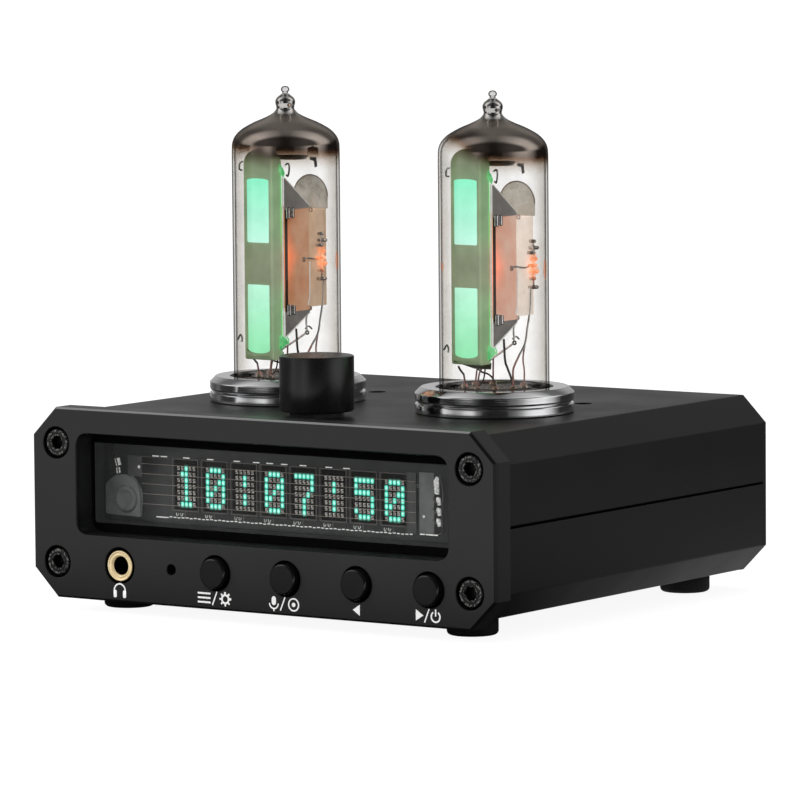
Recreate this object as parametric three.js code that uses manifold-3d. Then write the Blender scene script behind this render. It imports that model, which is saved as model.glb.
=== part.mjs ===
// Desktop tube amplifier and clock: a small aluminium case with a dot-matrix vacuum fluorescent
// display, four buttons, a volume knob and two plug-in tuning-indicator tubes.
// Units are millimetres. X runs along the front, Y runs from front to back, Z is up.
// The origin is on the surface under the feet, in the middle of the whole object.

import * as THREE from 'three';
import { mergeVertices } from 'three/addons/utils/BufferGeometryUtils.js';
import Module from 'manifold-3d';

const wasm = await Module();
wasm.setup();

// Fits shared by all pieces
const fitGap = 0.3;
const cutOverrun = 1;
const rootOverlap = 0.4;
const snapStep = 0.0001;

// Facets round a full turn
const fineSides = 28;
const turnedSides = 24;
const roundSides = 16;
const smallSides = 12;
const pinSides = 6;
const hexSides = 6;

// Case
const caseWidth = 108;
const caseHeight = 37.1;
const caseDepth = 98.5;
const panelThickness = 5;
const panelChamfer = 5.6;
const panelBevel = 0.6;
const bodyInset = 1.15;
const bodyChamfer = 5.2;
const wallThickness = 2;
const rearThickness = 1.5;
const seamGroove = 0.35;
const tongueWidth = 0.7;
const tongueHeight = 1;
const ribThickness = 1.2;
const ribWidth = 1.8;

// Feet
const footHeight = 3.65;
const footDiameter = 9.8;
const footRound = 0.8;
const footSideMargin = 12.5;
const footFrontMargin = 12.6;
const footRearMargin = 10.6;

// Screws that hold the two end panels
const screwSideMargin = 5.8;
const screwEndMargin = 6.95;
const screwShankDiameter = 2.9;
const screwShankLength = 6;
const screwHeadDiameter = 5.5;
const screwHeadHeight = 3;
const screwHeadRound = 0.4;
const screwHeadRecess = 0.2;
const screwKeyWidth = 2.5;
const screwKeyDepth = 1.6;
const screwChannelDiameter = 6;
const counterboreDiameter = 6.2;
const countersinkDepth = 1.3;
const rearKeyDepth = 0.8;

// Display window and the display behind it
const windowSideMargin = 10.6;
const windowTopMargin = 4.9;
const windowBottomMargin = 12.7;
const windowRadius = 2.2;
const gasketDepth = 2;
const gasketRim = 1.5;
const gasketSideLip = 0.4;
const gasketTopLip = 2.15;
const gasketBottomLip = 1.75;
const displaySideLap = 1.2;
const displayEndLap = 0.9;
const displayGlass = 1.1;
const displayCavity = 3.6;
const substrateThickness = 1.4;
const substrateRim = 0.4;
const displayBoardThickness = 1.2;
const displayBoardTopGap = 0.5;

// Lead frame inside the display: one stamped sheet with a window for each character
const characterCount = 8;
const characterGap = 0.65;
const firstCharacterMargin = 17.695;
const lastCharacterMargin = 15.755;
const characterTopMargin = 3.3;
const characterBottomMargin = 3.7;
const leadFrameSheet = 0.25;
const leadFrameDepth = 1.6;
const leadFrameBar = 0.35;
const anchorPlateWidth = 3.8;
const anchorPlateGap = 2.4;
const getterCupDiameter = 8.2;
const getterCupMargin = 6.2;
const pinRailHeight = 0.5;
const pinRailDrop = 1.4;
const pinWidth = 0.5;

// Row of controls under the window
const controlRowMargin = 7.05;
const buttonCount = 4;
const firstButtonMargin = 43.8;
const lastButtonMargin = 15;
const buttonDiameter = 5.9;
const buttonHoleDiameter = 6.8;
const buttonProud = 1.3;
const buttonRound = 0.25;
const buttonFlangeDiameter = 7.8;
const buttonFlangeThickness = 0.8;
const buttonStemDiameter = 3.2;
const buttonTravel = 0.5;
const switchWidth = 6;
const switchHeight = 3.5;
const switchPlungerDiameter = 3.4;
const switchPlungerHeight = 0.8;
const microphoneMargin = 33.3;
const microphoneHoleDiameter = 2;
const microphoneDiameter = 6;
const microphoneDepth = 2.7;

// Sockets for 3.5 mm plugs
const jackMargin = 20.9;
const jackBoreDiameter = 3.6;
const jackBushingDiameter = 6;
const jackHoleDiameter = 7.05;
const jackBushingProud = 0.3;
const jackBodyWidth = 11;
const jackBodyHeight = 5.8;
const jackBodyDepth = 12;
const jackBodyWall = 1.2;
const lineJackMargin = 42;

// Power inlet at the back
const inletMargin = 24;
const inletWidth = 8.9;
const inletHeight = 3.3;
const inletDepth = 7.4;
const inletWall = 0.35;
const inletTongueHeight = 0.7;
const inletTongueWidth = 6.6;
const inletTongueRecess = 0.8;

// Boards inside the case
const boardThickness = 1.6;
const boardRearGap = 0.8;

// Volume knob and its potentiometer
const knobFromFront = 19.6;
const knobDiameter = 14.4;
const knobHeight = 10.75;
const knobLift = 1.1;
const knobRound = 0.4;
const knobCap = 2;
const knobSkirt = 1.3;
const knobRecessHeight = 3;
const shaftDiameter = 6;
const shaftFlat = 1.5;
const bushingDiameter = 7;
const bushingAboveTop = 3.2;
const nutWidth = 10;
const nutHeight = 1.8;
const potentiometerWidth = 9.8;
const potentiometerFront = 4.2;
const potentiometerBack = 7.2;
const potentiometerFloor = 1.5;

// Turned rings round the indicator tubes
const tubeSpacing = 49;
const tubeFromFront = 44.2;
const ringDiameter = 30.8;
const ringHeight = 5.05;
const ringHoleDiameter = 22.65;
const ringBaseHeight = 1.95;
const ringGrooveHeight = 0.5;
const ringGrooveDepth = 0.55;
const ringLip = 0.25;
const ringTopBevel = 1.15;
const ringUndercut = 0.25;

// Nine-pin sockets and the indicator tubes
const socketDiameter = 21.4;
const socketProud = 2;
const socketCentreHole = 5;
const pinCircleDiameter = 11.9;
const pinPositions = 10;
const pinDiameter = 1;
const pinReach = 7;
const bulbDiameter = 21.25;
const bulbHeight = 60;
const bulbWall = 0.7;
const buttonGlassHeight = 1.6;
const buttonGlassDiameter = 20.6;
const buttonBossDiameter = 16.8;
const buttonBossHeight = 1.5;
const leadDiameter = 0.6;

// Outline of the bulb above its straight wall, as shares of its radius and of its height
const bulbShoulderShares = [
  [1, 0.79], [0.985, 0.818], [0.93, 0.8385], [0.81, 0.8595], [0.6, 0.8805], [0.4, 0.8955],
  [0.25, 0.909], [0.18, 0.9215],
];
const bulbNippleShares = [
  [0.165, 0.928], [0.183, 0.944], [0.165, 0.958], [0.1, 0.968], [0.062, 0.974],
];
const bulbTipShares = [[0.05, 0.978], [0.072, 0.986], [0.055, 0.996]];
const bulbDomeShares = [[1, 0.785], [0.92, 0.825], [0.72, 0.852], [0.42, 0.871], [0.18, 0.882]];

// Electrodes inside each tube, placed from the tube's axis and from the glass base
const targetWidth = 6.75;
const targetDepth = 3.1;
const targetSheet = 0.35;
const targetBottom = 7.1;
const targetLength = 41.4;
const targetArch = 2.9;
const targetForward = 9.1;
const cageWidth = 7.6;
const cageDepth = 8.2;
const cageSheet = 0.35;
const cageFrontBottom = 11.1;
const cageFrontTop = 42.3;
const cageRearBottom = 15.5;
const cageRearTop = 36.1;
const shieldWidth = 8.2;
const shieldSheet = 0.4;
const shieldBottom = 16.5;
const shieldTop = 42.1;
const shieldArch = 3.4;
const shieldBack = 8.5;
const getterDiameter = 6;
const getterSection = 0.9;
const getterSheet = 0.35;
const getterHeight = 45.8;
const getterBack = 2.2;
const getterStrapWidth = 1.2;

// Trimmers reached through the two small holes in the top
const trimmerFromFront = 67.1;
const trimmerAside = 5.5;
const trimmerHoleDiameter = 3.6;
const trimmerWidth = 6.6;
const trimmerHeight = 4.6;
const rotorDiameter = 3;
const rotorHeight = 1.4;
const rotorSeat = 0.8;
const rotorSlot = 0.6;
const rotorSlotDepth = 0.6;

// Parts soldered to the main board
const capacitorDiameter = 8;
const capacitorHeight = 10.5;
const capacitorCount = 3;
const capacitorPitch = 11;
const inductorWidth = 12;
const inductorHeight = 6;
const headerWidth = 20;
const headerDepth = 2.5;

// Places worked out from the sizes above
const bodyWidth = caseWidth - 2 * bodyInset;
const bodyHeight = caseHeight - 2 * bodyInset;
const centreZ = footHeight + bodyHeight / 2;
const topZ = footHeight + bodyHeight;
const faceY = (buttonProud - caseDepth) / 2;
const rearY = faceY + caseDepth;
const bodyFrontY = faceY + panelThickness;
const bodyBackY = rearY - rearThickness;
const floorZ = footHeight + wallThickness;
const ceilingZ = topZ - wallThickness;
const screwX = caseWidth / 2 - screwSideMargin;
const screwRise = caseHeight / 2 - screwEndMargin;
const screwHoleDiameter = screwShankDiameter + 2 * fitGap;
const rowZ = centreZ - caseHeight / 2 + controlRowMargin;
const [firstButtonX, lastButtonX] = [firstButtonMargin - caseWidth / 2, caseWidth / 2 - lastButtonMargin];
const buttonPitch = (lastButtonX - firstButtonX) / (buttonCount - 1);
const microphoneX = microphoneMargin - caseWidth / 2;
const jackX = jackMargin - caseWidth / 2;
const lineJackX = caseWidth / 2 - lineJackMargin;
const inletX = caseWidth / 2 - inletMargin;
const windowWidth = caseWidth - 2 * windowSideMargin;
const windowHeight = caseHeight - windowTopMargin - windowBottomMargin;
const windowZ = centreZ + (windowBottomMargin - windowTopMargin) / 2;
const gasketFrontY = bodyFrontY;
const displayFrontY = gasketFrontY + gasketDepth;
const gasketOpeningWidth = windowWidth - 2 * gasketSideLip;
const gasketOpeningHeight = windowHeight - gasketTopLip - gasketBottomLip;
const displayWidth = gasketOpeningWidth + 2 * displaySideLap;
const displayHeight = gasketOpeningHeight + 2 * displayEndLap;
const displayZ = windowZ + (gasketBottomLip - gasketTopLip) / 2;
const substrateFrontY = displayFrontY + displayGlass + displayCavity;
const displayBoardFrontY = substrateFrontY + substrateThickness;
const displayBoardBackY = displayBoardFrontY + displayBoardThickness;
const displayBoardBottomZ = floorZ + fitGap;
const boardFrontY = displayBoardBackY + fitGap;
const boardBackY = bodyBackY - boardRearGap;
const boardHalfWidth = bodyWidth / 2 - wallThickness - fitGap;
const boardOffset = screwRise - screwChannelDiameter / 2 - fitGap;
const tubeBoardTopZ = centreZ + boardOffset;
const tubeBoardBottomZ = tubeBoardTopZ - boardThickness;
const mainBoardBottomZ = centreZ - boardOffset;
const mainBoardTopZ = mainBoardBottomZ + boardThickness;
const jackZ = mainBoardBottomZ - fitGap - jackBodyHeight / 2;
const knobY = faceY + knobFromFront;
const tubeY = faceY + tubeFromFront;
const trimmerY = faceY + trimmerFromFront;
const seatZ = topZ + socketProud;

// Materials
const finishes = {
  anodised: { color: 0x2a2a2c, roughness: 0.45, metalness: 0.6 },
  knobBlack: { color: 0x1b1b1c, roughness: 0.5, metalness: 0.3 },
  blackSteel: { color: 0x303032, roughness: 0.4, metalness: 0.8 },
  blackPlastic: { color: 0x161616, roughness: 0.55, metalness: 0 },
  rubber: { color: 0x121212, roughness: 0.85, metalness: 0 },
  foam: { color: 0x0a0a0a, roughness: 0.95, metalness: 0 },
  steel: { color: 0xb9b9bb, roughness: 0.25, metalness: 1 },
  gold: { color: 0xd9b266, roughness: 0.25, metalness: 1 },
  glass: { color: 0xe9e4de, roughness: 0.05, metalness: 0, transparent: true, opacity: 0.3 },
  darkGlass: { color: 0x3a3a3c, roughness: 0.1, metalness: 0 },
  nickel: { color: 0x9a948c, roughness: 0.35, metalness: 1 },
  phosphor: { color: 0x8fae86, roughness: 0.6, metalness: 0 },
  cage: { color: 0x6a5a50, roughness: 0.5, metalness: 0.6 },
  mica: { color: 0xb8b0a0, roughness: 0.4, metalness: 0 },
  ceramic: { color: 0x2c2a28, roughness: 0.6, metalness: 0 },
  board: { color: 0x1d4a30, roughness: 0.5, metalness: 0 },
  bluePlastic: { color: 0x2b5fa8, roughness: 0.5, metalness: 0 },
  whitePlastic: { color: 0xd8d4c8, roughness: 0.5, metalness: 0 },
};

const model = new THREE.Group();

// Geometry helpers

// Turn any closed geometry into a solid, with its faces pointing out. Its corners are snapped
// to a fine step, so that faces meant to lie in one plane do so exactly.
function solid(geometry) {
  const bare = geometry.clone();
  bare.deleteAttribute('normal');
  bare.deleteAttribute('uv');
  const loose = bare.attributes.position.array;
  loose.set(loose.map((value) => Math.round(value / snapStep) * snapStep));
  const merged = mergeVertices(bare);
  const position = merged.attributes.position;
  const corner = (i) => new THREE.Vector3().fromBufferAttribute(position, i);
  const triangles = [];
  let volume = 0;
  for (let i = 0; i < merged.index.count; i += 3) {
    const [a, b, c] = [0, 1, 2].map((k) => merged.index.getX(i + k));
    if (a === b || b === c || c === a) continue;
    triangles.push([a, b, c]);
    volume += corner(a).dot(corner(b).cross(corner(c)));
  }
  const facing = volume < 0 ? triangles.map(([a, b, c]) => [a, c, b]) : triangles;
  return new wasm.Manifold(new wasm.Mesh({
    numProp: 3,
    vertProperties: new Float32Array(position.array),
    triVerts: new Uint32Array(facing.flat()),
  }));
}

const join = (first, ...others) => others.reduce((all, piece) => all.add(piece), first);
const cut = (first, ...tools) => tools.reduce((all, tool) => all.subtract(tool), first);

// A shape drawn in X and Z, carried backwards from one Y to another.
function prismY(shape, frontY, backY) {
  const options = { depth: backY - frontY, bevelEnabled: false, curveSegments: 4 };
  const geometry = new THREE.ExtrudeGeometry(shape, options);
  geometry.rotateX(Math.PI / 2);
  geometry.translate(0, backY, 0);
  return solid(geometry);
}

// A shape drawn in X and Y, carried up from one Z to another.
function prismZ(shape, lowZ, highZ) {
  const options = { depth: highZ - lowZ, bevelEnabled: false, curveSegments: 4 };
  const geometry = new THREE.ExtrudeGeometry(shape, options);
  geometry.translate(0, 0, lowZ);
  return solid(geometry);
}

// A shape drawn in Y and Z, carried from one X to another.
function prismX(shape, leftX, rightX) {
  const options = { depth: rightX - leftX, bevelEnabled: false, curveSegments: 4 };
  const geometry = new THREE.ExtrudeGeometry(shape, options);
  const axes = [new THREE.Vector3(0, 1, 0), new THREE.Vector3(0, 0, 1), new THREE.Vector3(1, 0, 0)];
  geometry.applyMatrix4(new THREE.Matrix4().makeBasis(...axes));
  geometry.translate(leftX, 0, 0);
  return solid(geometry);
}

function block(low, high) {
  const size = high.map((value, axis) => value - low[axis]);
  const middle = high.map((value, axis) => (value + low[axis]) / 2);
  return solid(new THREE.BoxGeometry(...size).translate(...middle));
}

function rodZ(diameter, x, y, lowZ, highZ, sides = roundSides) {
  const geometry = new THREE.CylinderGeometry(diameter / 2, diameter / 2, highZ - lowZ, sides);
  geometry.rotateX(Math.PI / 2);
  return solid(geometry.translate(x, y, (lowZ + highZ) / 2));
}

function rodY(diameter, x, z, frontY, backY, sides = roundSides) {
  const geometry = new THREE.CylinderGeometry(diameter / 2, diameter / 2, backY - frontY, sides);
  return solid(geometry.translate(x, (frontY + backY) / 2, z));
}

// A profile of [radius, height] points turned about the Z axis through (x, y).
function turnedZ(profile, x, y, sides = turnedSides) {
  const points = profile.map(([radius, height]) => new THREE.Vector2(radius, height));
  const geometry = new THREE.LatheGeometry(points, sides);
  geometry.rotateX(Math.PI / 2);
  return solid(geometry.translate(x, y, 0));
}

// A profile of [radius, distance behind y] points turned about a line along Y.
function turnedY(profile, x, y, z, sides = roundSides) {
  const points = profile.map(([radius, depth]) => new THREE.Vector2(radius, depth));
  return solid(new THREE.LatheGeometry(points, sides).translate(x, y, z));
}

function octagonPoints(width, height, chamfer, z) {
  const [halfWidth, halfHeight] = [width / 2, height / 2];
  const corners = [];
  for (const [sx, sz] of [[1, -1], [1, 1], [-1, 1], [-1, -1]]) {
    const flat = new THREE.Vector2(sx * (halfWidth - chamfer), z + sz * halfHeight);
    const side = new THREE.Vector2(sx * halfWidth, z + sz * (halfHeight - chamfer));
    corners.push(...(sx * sz < 0 ? [flat, side] : [side, flat]));
  }
  return corners;
}

const octagon = (...sizes) => new THREE.Shape(octagonPoints(...sizes));

function roundedRectangle(width, height, radius, x, z) {
  const [left, bottom] = [x - width / 2, z - height / 2];
  const [right, top] = [x + width / 2, z + height / 2];
  const shape = new THREE.Shape();
  shape.moveTo(left + radius, bottom);
  shape.lineTo(right - radius, bottom);
  shape.absarc(right - radius, bottom + radius, radius, -Math.PI / 2, 0);
  shape.lineTo(right, top - radius);
  shape.absarc(right - radius, top - radius, radius, 0, Math.PI / 2);
  shape.lineTo(left + radius, top);
  shape.absarc(left + radius, top - radius, radius, Math.PI / 2, Math.PI);
  shape.lineTo(left, bottom + radius);
  shape.absarc(left + radius, bottom + radius, radius, Math.PI, Math.PI * 1.5);
  return shape;
}

// A plate outline with a flat foot and an arched top.
function archOutline(width, bottom, top, arch, x) {
  const shape = new THREE.Shape();
  shape.moveTo(x - width / 2, bottom);
  shape.lineTo(x + width / 2, bottom);
  shape.lineTo(x + width / 2, top - arch);
  shape.absellipse(x, top - arch, width / 2, arch, 0, Math.PI);
  return shape;
}

// Rings of equal point counts joined into one closed skin, with flat ends.
function loft(rings) {
  const count = rings[0].length;
  const positions = rings.flat().flatMap((point) => [point.x, point.y, point.z]);
  const index = [];
  for (let level = 0; level < rings.length - 1; level += 1) {
    for (let i = 0; i < count; i += 1) {
      const a = level * count + i;
      const b = level * count + ((i + 1) % count);
      index.push(a, b, b + count, a, b + count, a + count);
    }
  }
  const last = (rings.length - 1) * count;
  for (let i = 1; i < count - 1; i += 1) {
    index.push(0, i + 1, i, last, last + i, last + i + 1);
  }
  const geometry = new THREE.BufferGeometry();
  geometry.setAttribute('position', new THREE.Float32BufferAttribute(positions, 3));
  geometry.setIndex(index);
  return solid(geometry);
}

const standing = (points, y) => points.map((point) => new THREE.Vector3(point.x, y, point.y));

// Put a finished solid into the model under its own name.
function place(name, piece, finish) {
  const { vertProperties, triVerts } = piece.getMesh();
  const geometry = new THREE.BufferGeometry();
  geometry.setAttribute('position', new THREE.BufferAttribute(new Float32Array(vertProperties), 3));
  geometry.setIndex(new THREE.BufferAttribute(new Uint32Array(triVerts), 1));
  geometry.computeVertexNormals();
  const material = new THREE.MeshStandardMaterial({ ...finishes[finish], flatShading: true });
  const mesh = new THREE.Mesh(geometry, material);
  mesh.name = name;
  model.add(mesh);
}

const corners = [[-1, 1], [1, 1], [-1, -1], [1, -1]];
const buttonPlaces = Array.from({ length: buttonCount }, (_, i) => firstButtonX + i * buttonPitch);
const tubeSides = [['left', -tubeSpacing / 2], ['right', tubeSpacing / 2]];

// Front panel: a thick bevelled plate with a window and a row of holes
function frontPanel() {
  const narrow = [caseWidth - 2 * panelBevel, caseHeight - 2 * panelBevel];
  const bevelChamfer = panelChamfer - panelBevel * (2 - Math.SQRT2);
  const face = octagonPoints(...narrow, bevelChamfer, centreZ);
  const edge = octagonPoints(caseWidth, caseHeight, panelChamfer, centreZ);
  const plate = loft([
    standing(face, faceY),
    standing(edge, faceY + panelBevel),
    standing(edge, bodyFrontY),
  ]);
  const windowShape = roundedRectangle(windowWidth, windowHeight, windowRadius, 0, windowZ);
  const holes = [prismY(windowShape, faceY - cutOverrun, bodyFrontY + cutOverrun)];
  const bore = (diameter, x, z) => rodY(diameter, x, z, faceY - cutOverrun, bodyFrontY + cutOverrun);
  for (const x of buttonPlaces) holes.push(bore(buttonHoleDiameter, x, rowZ));
  holes.push(bore(jackHoleDiameter, jackX, jackZ));
  holes.push(bore(microphoneHoleDiameter, microphoneX, rowZ));
  const counterboreY = faceY + screwHeadRecess + screwHeadHeight;
  for (const [sx, sz] of corners) {
    const [x, z] = [sx * screwX, centreZ + sz * screwRise];
    holes.push(rodY(screwHoleDiameter, x, z, faceY, bodyFrontY + cutOverrun, smallSides));
    holes.push(rodY(counterboreDiameter, x, z, faceY - cutOverrun, counterboreY));
  }
  place('front_panel', cut(plate, ...holes), 'anodised');
}

// One half of the extruded body: chamfered skin, two screw channels and two board ribs
function bodyHalf(side) {
  const innerChamfer = bodyChamfer - wallThickness * (2 - Math.SQRT2);
  const outer = octagon(bodyWidth, bodyHeight, bodyChamfer, centreZ);
  const innerWidth = bodyWidth - 2 * wallThickness;
  const innerHeight = bodyHeight - 2 * wallThickness;
  const inner = octagon(innerWidth, innerHeight, innerChamfer, centreZ);
  const skin = cut(
    prismY(outer, bodyFrontY, bodyBackY),
    prismY(inner, bodyFrontY - cutOverrun, bodyBackY + cutOverrun),
  );
  const channelZ = centreZ + side * screwRise;
  const ribInner = centreZ + side * (boardOffset - boardThickness - fitGap);
  const ribZ = [ribInner, ribInner - side * ribThickness].sort((a, b) => a - b);
  const added = [];
  const bores = [];
  for (const sx of [-1, 1]) {
    const ribX = [sx * (innerWidth / 2 + rootOverlap), sx * (innerWidth / 2 - ribWidth)];
    ribX.sort((a, b) => a - b);
    added.push(rodY(screwChannelDiameter, sx * screwX, channelZ, bodyFrontY, bodyBackY));
    added.push(block([ribX[0], bodyFrontY, ribZ[0]], [ribX[1], bodyBackY, ribZ[1]]));
    const [from, to] = [bodyFrontY - cutOverrun, bodyBackY + cutOverrun];
    bores.push(rodY(screwHoleDiameter, sx * screwX, channelZ, from, to, smallSides));
  }
  return cut(join(skin, ...added), ...bores);
}

// Everything on one side of a level, out to a half width, as a cutting block
function beyondLevel(side, level, halfWidth) {
  const far = centreZ - side * caseHeight;
  const z = [centreZ + level, far].sort((a, b) => a - b);
  return block([-halfWidth, faceY, z[0]], [halfWidth, rearY, z[1]]);
}

function upperShell() {
  const rebate = bodyWidth / 2 - wallThickness + tongueWidth + fitGap;
  let shell = cut(
    bodyHalf(1),
    beyondLevel(1, seamGroove, caseWidth),
    beyondLevel(1, tongueHeight, rebate),
  );
  const bore = (diameter, x, y, sides) =>
    rodZ(diameter, x, y, ceilingZ - cutOverrun, topZ + cutOverrun, sides);
  const holes = [bore(bushingDiameter + 2 * fitGap, 0, knobY, roundSides)];
  for (const [, x] of tubeSides) {
    holes.push(bore(socketDiameter + 2 * fitGap, x, tubeY, turnedSides));
    holes.push(bore(trimmerHoleDiameter, x + trimmerAside, trimmerY, roundSides));
  }
  shell = cut(shell, ...holes);
  place('upper_shell', shell, 'anodised');
}

function lowerShell() {
  const tongueOuter = bodyWidth / 2 - wallThickness + tongueWidth;
  const tooHigh = beyondLevel(-1, tongueHeight, caseWidth);
  const besideTongue = cut(
    beyondLevel(-1, 0, caseWidth),
    block([-tongueOuter, faceY - cutOverrun, 0], [tongueOuter, rearY + cutOverrun, 2 * topZ]),
  );
  place('lower_shell', cut(bodyHalf(-1), tooHigh, besideTongue), 'anodised');
}

// Rear panel: a flush sheet with a power inlet slot, a plug hole and countersunk screw holes
function rearPanel() {
  const plate = prismY(octagon(bodyWidth, bodyHeight, bodyChamfer, centreZ), bodyBackY, rearY);
  const from = bodyBackY - cutOverrun;
  const to = rearY + cutOverrun;
  const slotHeight = inletHeight + 2 * fitGap;
  const slotZ = mainBoardTopZ + fitGap + inletHeight / 2;
  const slotWidth = inletWidth + 2 * fitGap;
  const slot = roundedRectangle(slotWidth, slotHeight, slotHeight / 2 - fitGap / 2, inletX, slotZ);
  const holes = [
    prismY(slot, from, to),
    rodY(jackHoleDiameter, lineJackX, jackZ, from, to),
  ];
  const widest = screwHeadDiameter / 2 + fitGap;
  const narrowest = screwHoleDiameter / 2;
  const slope = (widest - narrowest) / countersinkDepth;
  for (const [sx, sz] of corners) {
    const [x, z] = [sx * screwX, centreZ + sz * screwRise];
    holes.push(rodY(screwHoleDiameter, x, z, from, to, smallSides));
    holes.push(turnedY([
      [0, -countersinkDepth],
      [narrowest, -countersinkDepth],
      [widest + slope * cutOverrun, cutOverrun],
      [0, cutOverrun],
    ], x, rearY, z, smallSides));
  }
  place('rear_panel', cut(plate, ...holes), 'anodised');
}

const hexagon = (width, x, z) => {
  const radius = width / Math.sqrt(3);
  const points = Array.from({ length: hexSides }, (_, i) => {
    const angle = (i * 2 * Math.PI) / hexSides;
    return new THREE.Vector2(x + radius * Math.cos(angle), z + radius * Math.sin(angle));
  });
  return new THREE.Shape(points);
};

// Socket-head screws at the front, flat-head screws at the back
function screws() {
  corners.forEach(([sx, sz], i) => {
    const [x, z] = [sx * screwX, centreZ + sz * screwRise];
    const headRadius = screwHeadDiameter / 2;
    const frontTop = faceY + screwHeadRecess;
    const socketHead = turnedY([
      [0, 0],
      [headRadius - screwHeadRound, 0],
      [headRadius, screwHeadRound],
      [headRadius, screwHeadHeight],
      [screwShankDiameter / 2, screwHeadHeight],
      [screwShankDiameter / 2, screwHeadHeight + screwShankLength],
      [0, screwHeadHeight + screwShankLength],
    ], x, frontTop, z);
    const key = hexagon(screwKeyWidth, x, z);
    const frontKey = prismY(key, frontTop - cutOverrun, frontTop + screwKeyDepth);
    place(`front_screw_${i + 1}`, cut(socketHead, frontKey), 'blackSteel');
    const flatHead = turnedY([
      [0, 0],
      [headRadius, 0],
      [screwShankDiameter / 2, -countersinkDepth],
      [screwShankDiameter / 2, -countersinkDepth - screwShankLength],
      [0, -countersinkDepth - screwShankLength],
    ], x, rearY, z, smallSides);
    const rearKey = prismY(key, rearY - rearKeyDepth, rearY + cutOverrun);
    place(`rear_screw_${i + 1}`, cut(flatHead, rearKey), 'blackSteel');
  });
}

function feet() {
  const footX = bodyWidth / 2 - footSideMargin;
  const rounding = Array.from({ length: 4 }, (_, i) => {
    const angle = (i / 3) * (Math.PI / 2);
    const inward = footRound * (1 - Math.sin(angle));
    return [footDiameter / 2 - inward, footRound * (1 - Math.cos(angle))];
  });
  const profile = [[0, 0], ...rounding, [footDiameter / 2, footHeight], [0, footHeight]];
  corners.forEach(([sx, sy], i) => {
    const y = sy > 0 ? rearY - footRearMargin : faceY + footFrontMargin;
    place(`foot_${i + 1}`, turnedZ(profile, sx * footX, y, roundSides), 'rubber');
  });
}

// Black foam frame between the panel and the display glass
function displayGasket() {
  const outerWidth = windowWidth + 2 * gasketRim;
  const outerHeight = windowHeight + 2 * gasketRim - fitGap;
  const outer = block(
    [-outerWidth / 2, gasketFrontY, windowZ - outerHeight / 2],
    [outerWidth / 2, displayFrontY, windowZ + outerHeight / 2],
  );
  const opening = block(
    [-gasketOpeningWidth / 2, gasketFrontY - cutOverrun, displayZ - gasketOpeningHeight / 2],
    [gasketOpeningWidth / 2, displayFrontY + cutOverrun, displayZ + gasketOpeningHeight / 2],
  );
  place('display_gasket', cut(outer, opening), 'foam');
}

// Display: a shallow glass cover sealed to a glass substrate
function displayGlassware() {
  const cavityZ = [displayZ - displayHeight / 2, displayZ + displayHeight / 2];
  const cover = cut(
    block([-displayWidth / 2, displayFrontY, cavityZ[0]], [displayWidth / 2, substrateFrontY, cavityZ[1]]),
    block(
      [-displayWidth / 2 + displayGlass, displayFrontY + displayGlass, cavityZ[0] + displayGlass],
      [displayWidth / 2 - displayGlass, substrateFrontY + cutOverrun, cavityZ[1] - displayGlass],
    ),
  );
  place('display_cover_glass', cover, 'glass');
  const substrate = block(
    [-displayWidth / 2 - substrateRim, substrateFrontY, cavityZ[0] - substrateRim],
    [displayWidth / 2 + substrateRim, displayBoardFrontY, cavityZ[1] + substrateRim],
  );
  place('display_substrate', substrate, 'darkGlass');
}

// The stamped sheet in the display: character frames, end anchors, getter cup and pin comb
function displayLeadFrame() {
  const frontY = displayFrontY + displayGlass + leadFrameDepth;
  const backY = frontY + leadFrameSheet;
  const left = firstCharacterMargin - displayWidth / 2;
  const right = displayWidth / 2 - lastCharacterMargin;
  const characterPitch = (right - left + characterGap) / characterCount;
  const bottom = displayZ - displayHeight / 2 + characterBottomMargin;
  const top = displayZ + displayHeight / 2 - characterTopMargin;
  const railZ = bottom - pinRailDrop;
  const sheet = (x0, z0, x1, z1) => block([x0, frontY, z0], [x1, backY, z1]);
  const bars = [sheet(left, top - leadFrameBar, right, top)];
  bars.push(sheet(left, bottom, right, bottom + leadFrameBar));
  for (let i = 0; i < characterCount; i += 1) {
    const x = left + i * characterPitch;
    const end = x + characterPitch - characterGap;
    const middle = (x + end) / 2;
    bars.push(sheet(x, bottom, x + leadFrameBar, top));
    bars.push(sheet(end - leadFrameBar, bottom, end, top));
    bars.push(sheet(middle - pinWidth / 2, railZ, middle + pinWidth / 2, bottom + leadFrameBar));
  }
  const anchorLeft = right + anchorPlateGap;
  const anchorRight = anchorLeft + anchorPlateWidth;
  const cupX = getterCupMargin - displayWidth / 2;
  const cupZ = railZ + getterCupDiameter / 2 - pinRailHeight / 2;
  const rail = sheet(cupX, railZ, anchorRight, railZ + pinRailHeight);
  const anchor = sheet(anchorLeft, railZ, anchorRight, top);
  const cup = rodY(getterCupDiameter, cupX, cupZ, frontY - leadFrameSheet, backY + leadFrameSheet);
  const combCount = 2 * characterCount;
  const pinBottom = displayZ - displayHeight / 2 + displayGlass + fitGap;
  const pins = Array.from({ length: combCount }, (_, i) => {
    const x = left + ((i + 0.5) * (right - left)) / combCount;
    return sheet(x - pinWidth / 2, pinBottom, x + pinWidth / 2, railZ + pinRailHeight / 2);
  });
  const foot = block(
    [anchorLeft + leadFrameBar, frontY + leadFrameSheet / 2, railZ],
    [anchorRight - leadFrameBar, substrateFrontY - fitGap, railZ + pinRailHeight],
  );
  const frame = join(rail, ...bars, anchor, cup, ...pins, foot);
  place('display_lead_frame', frame, 'nickel');
}

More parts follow.
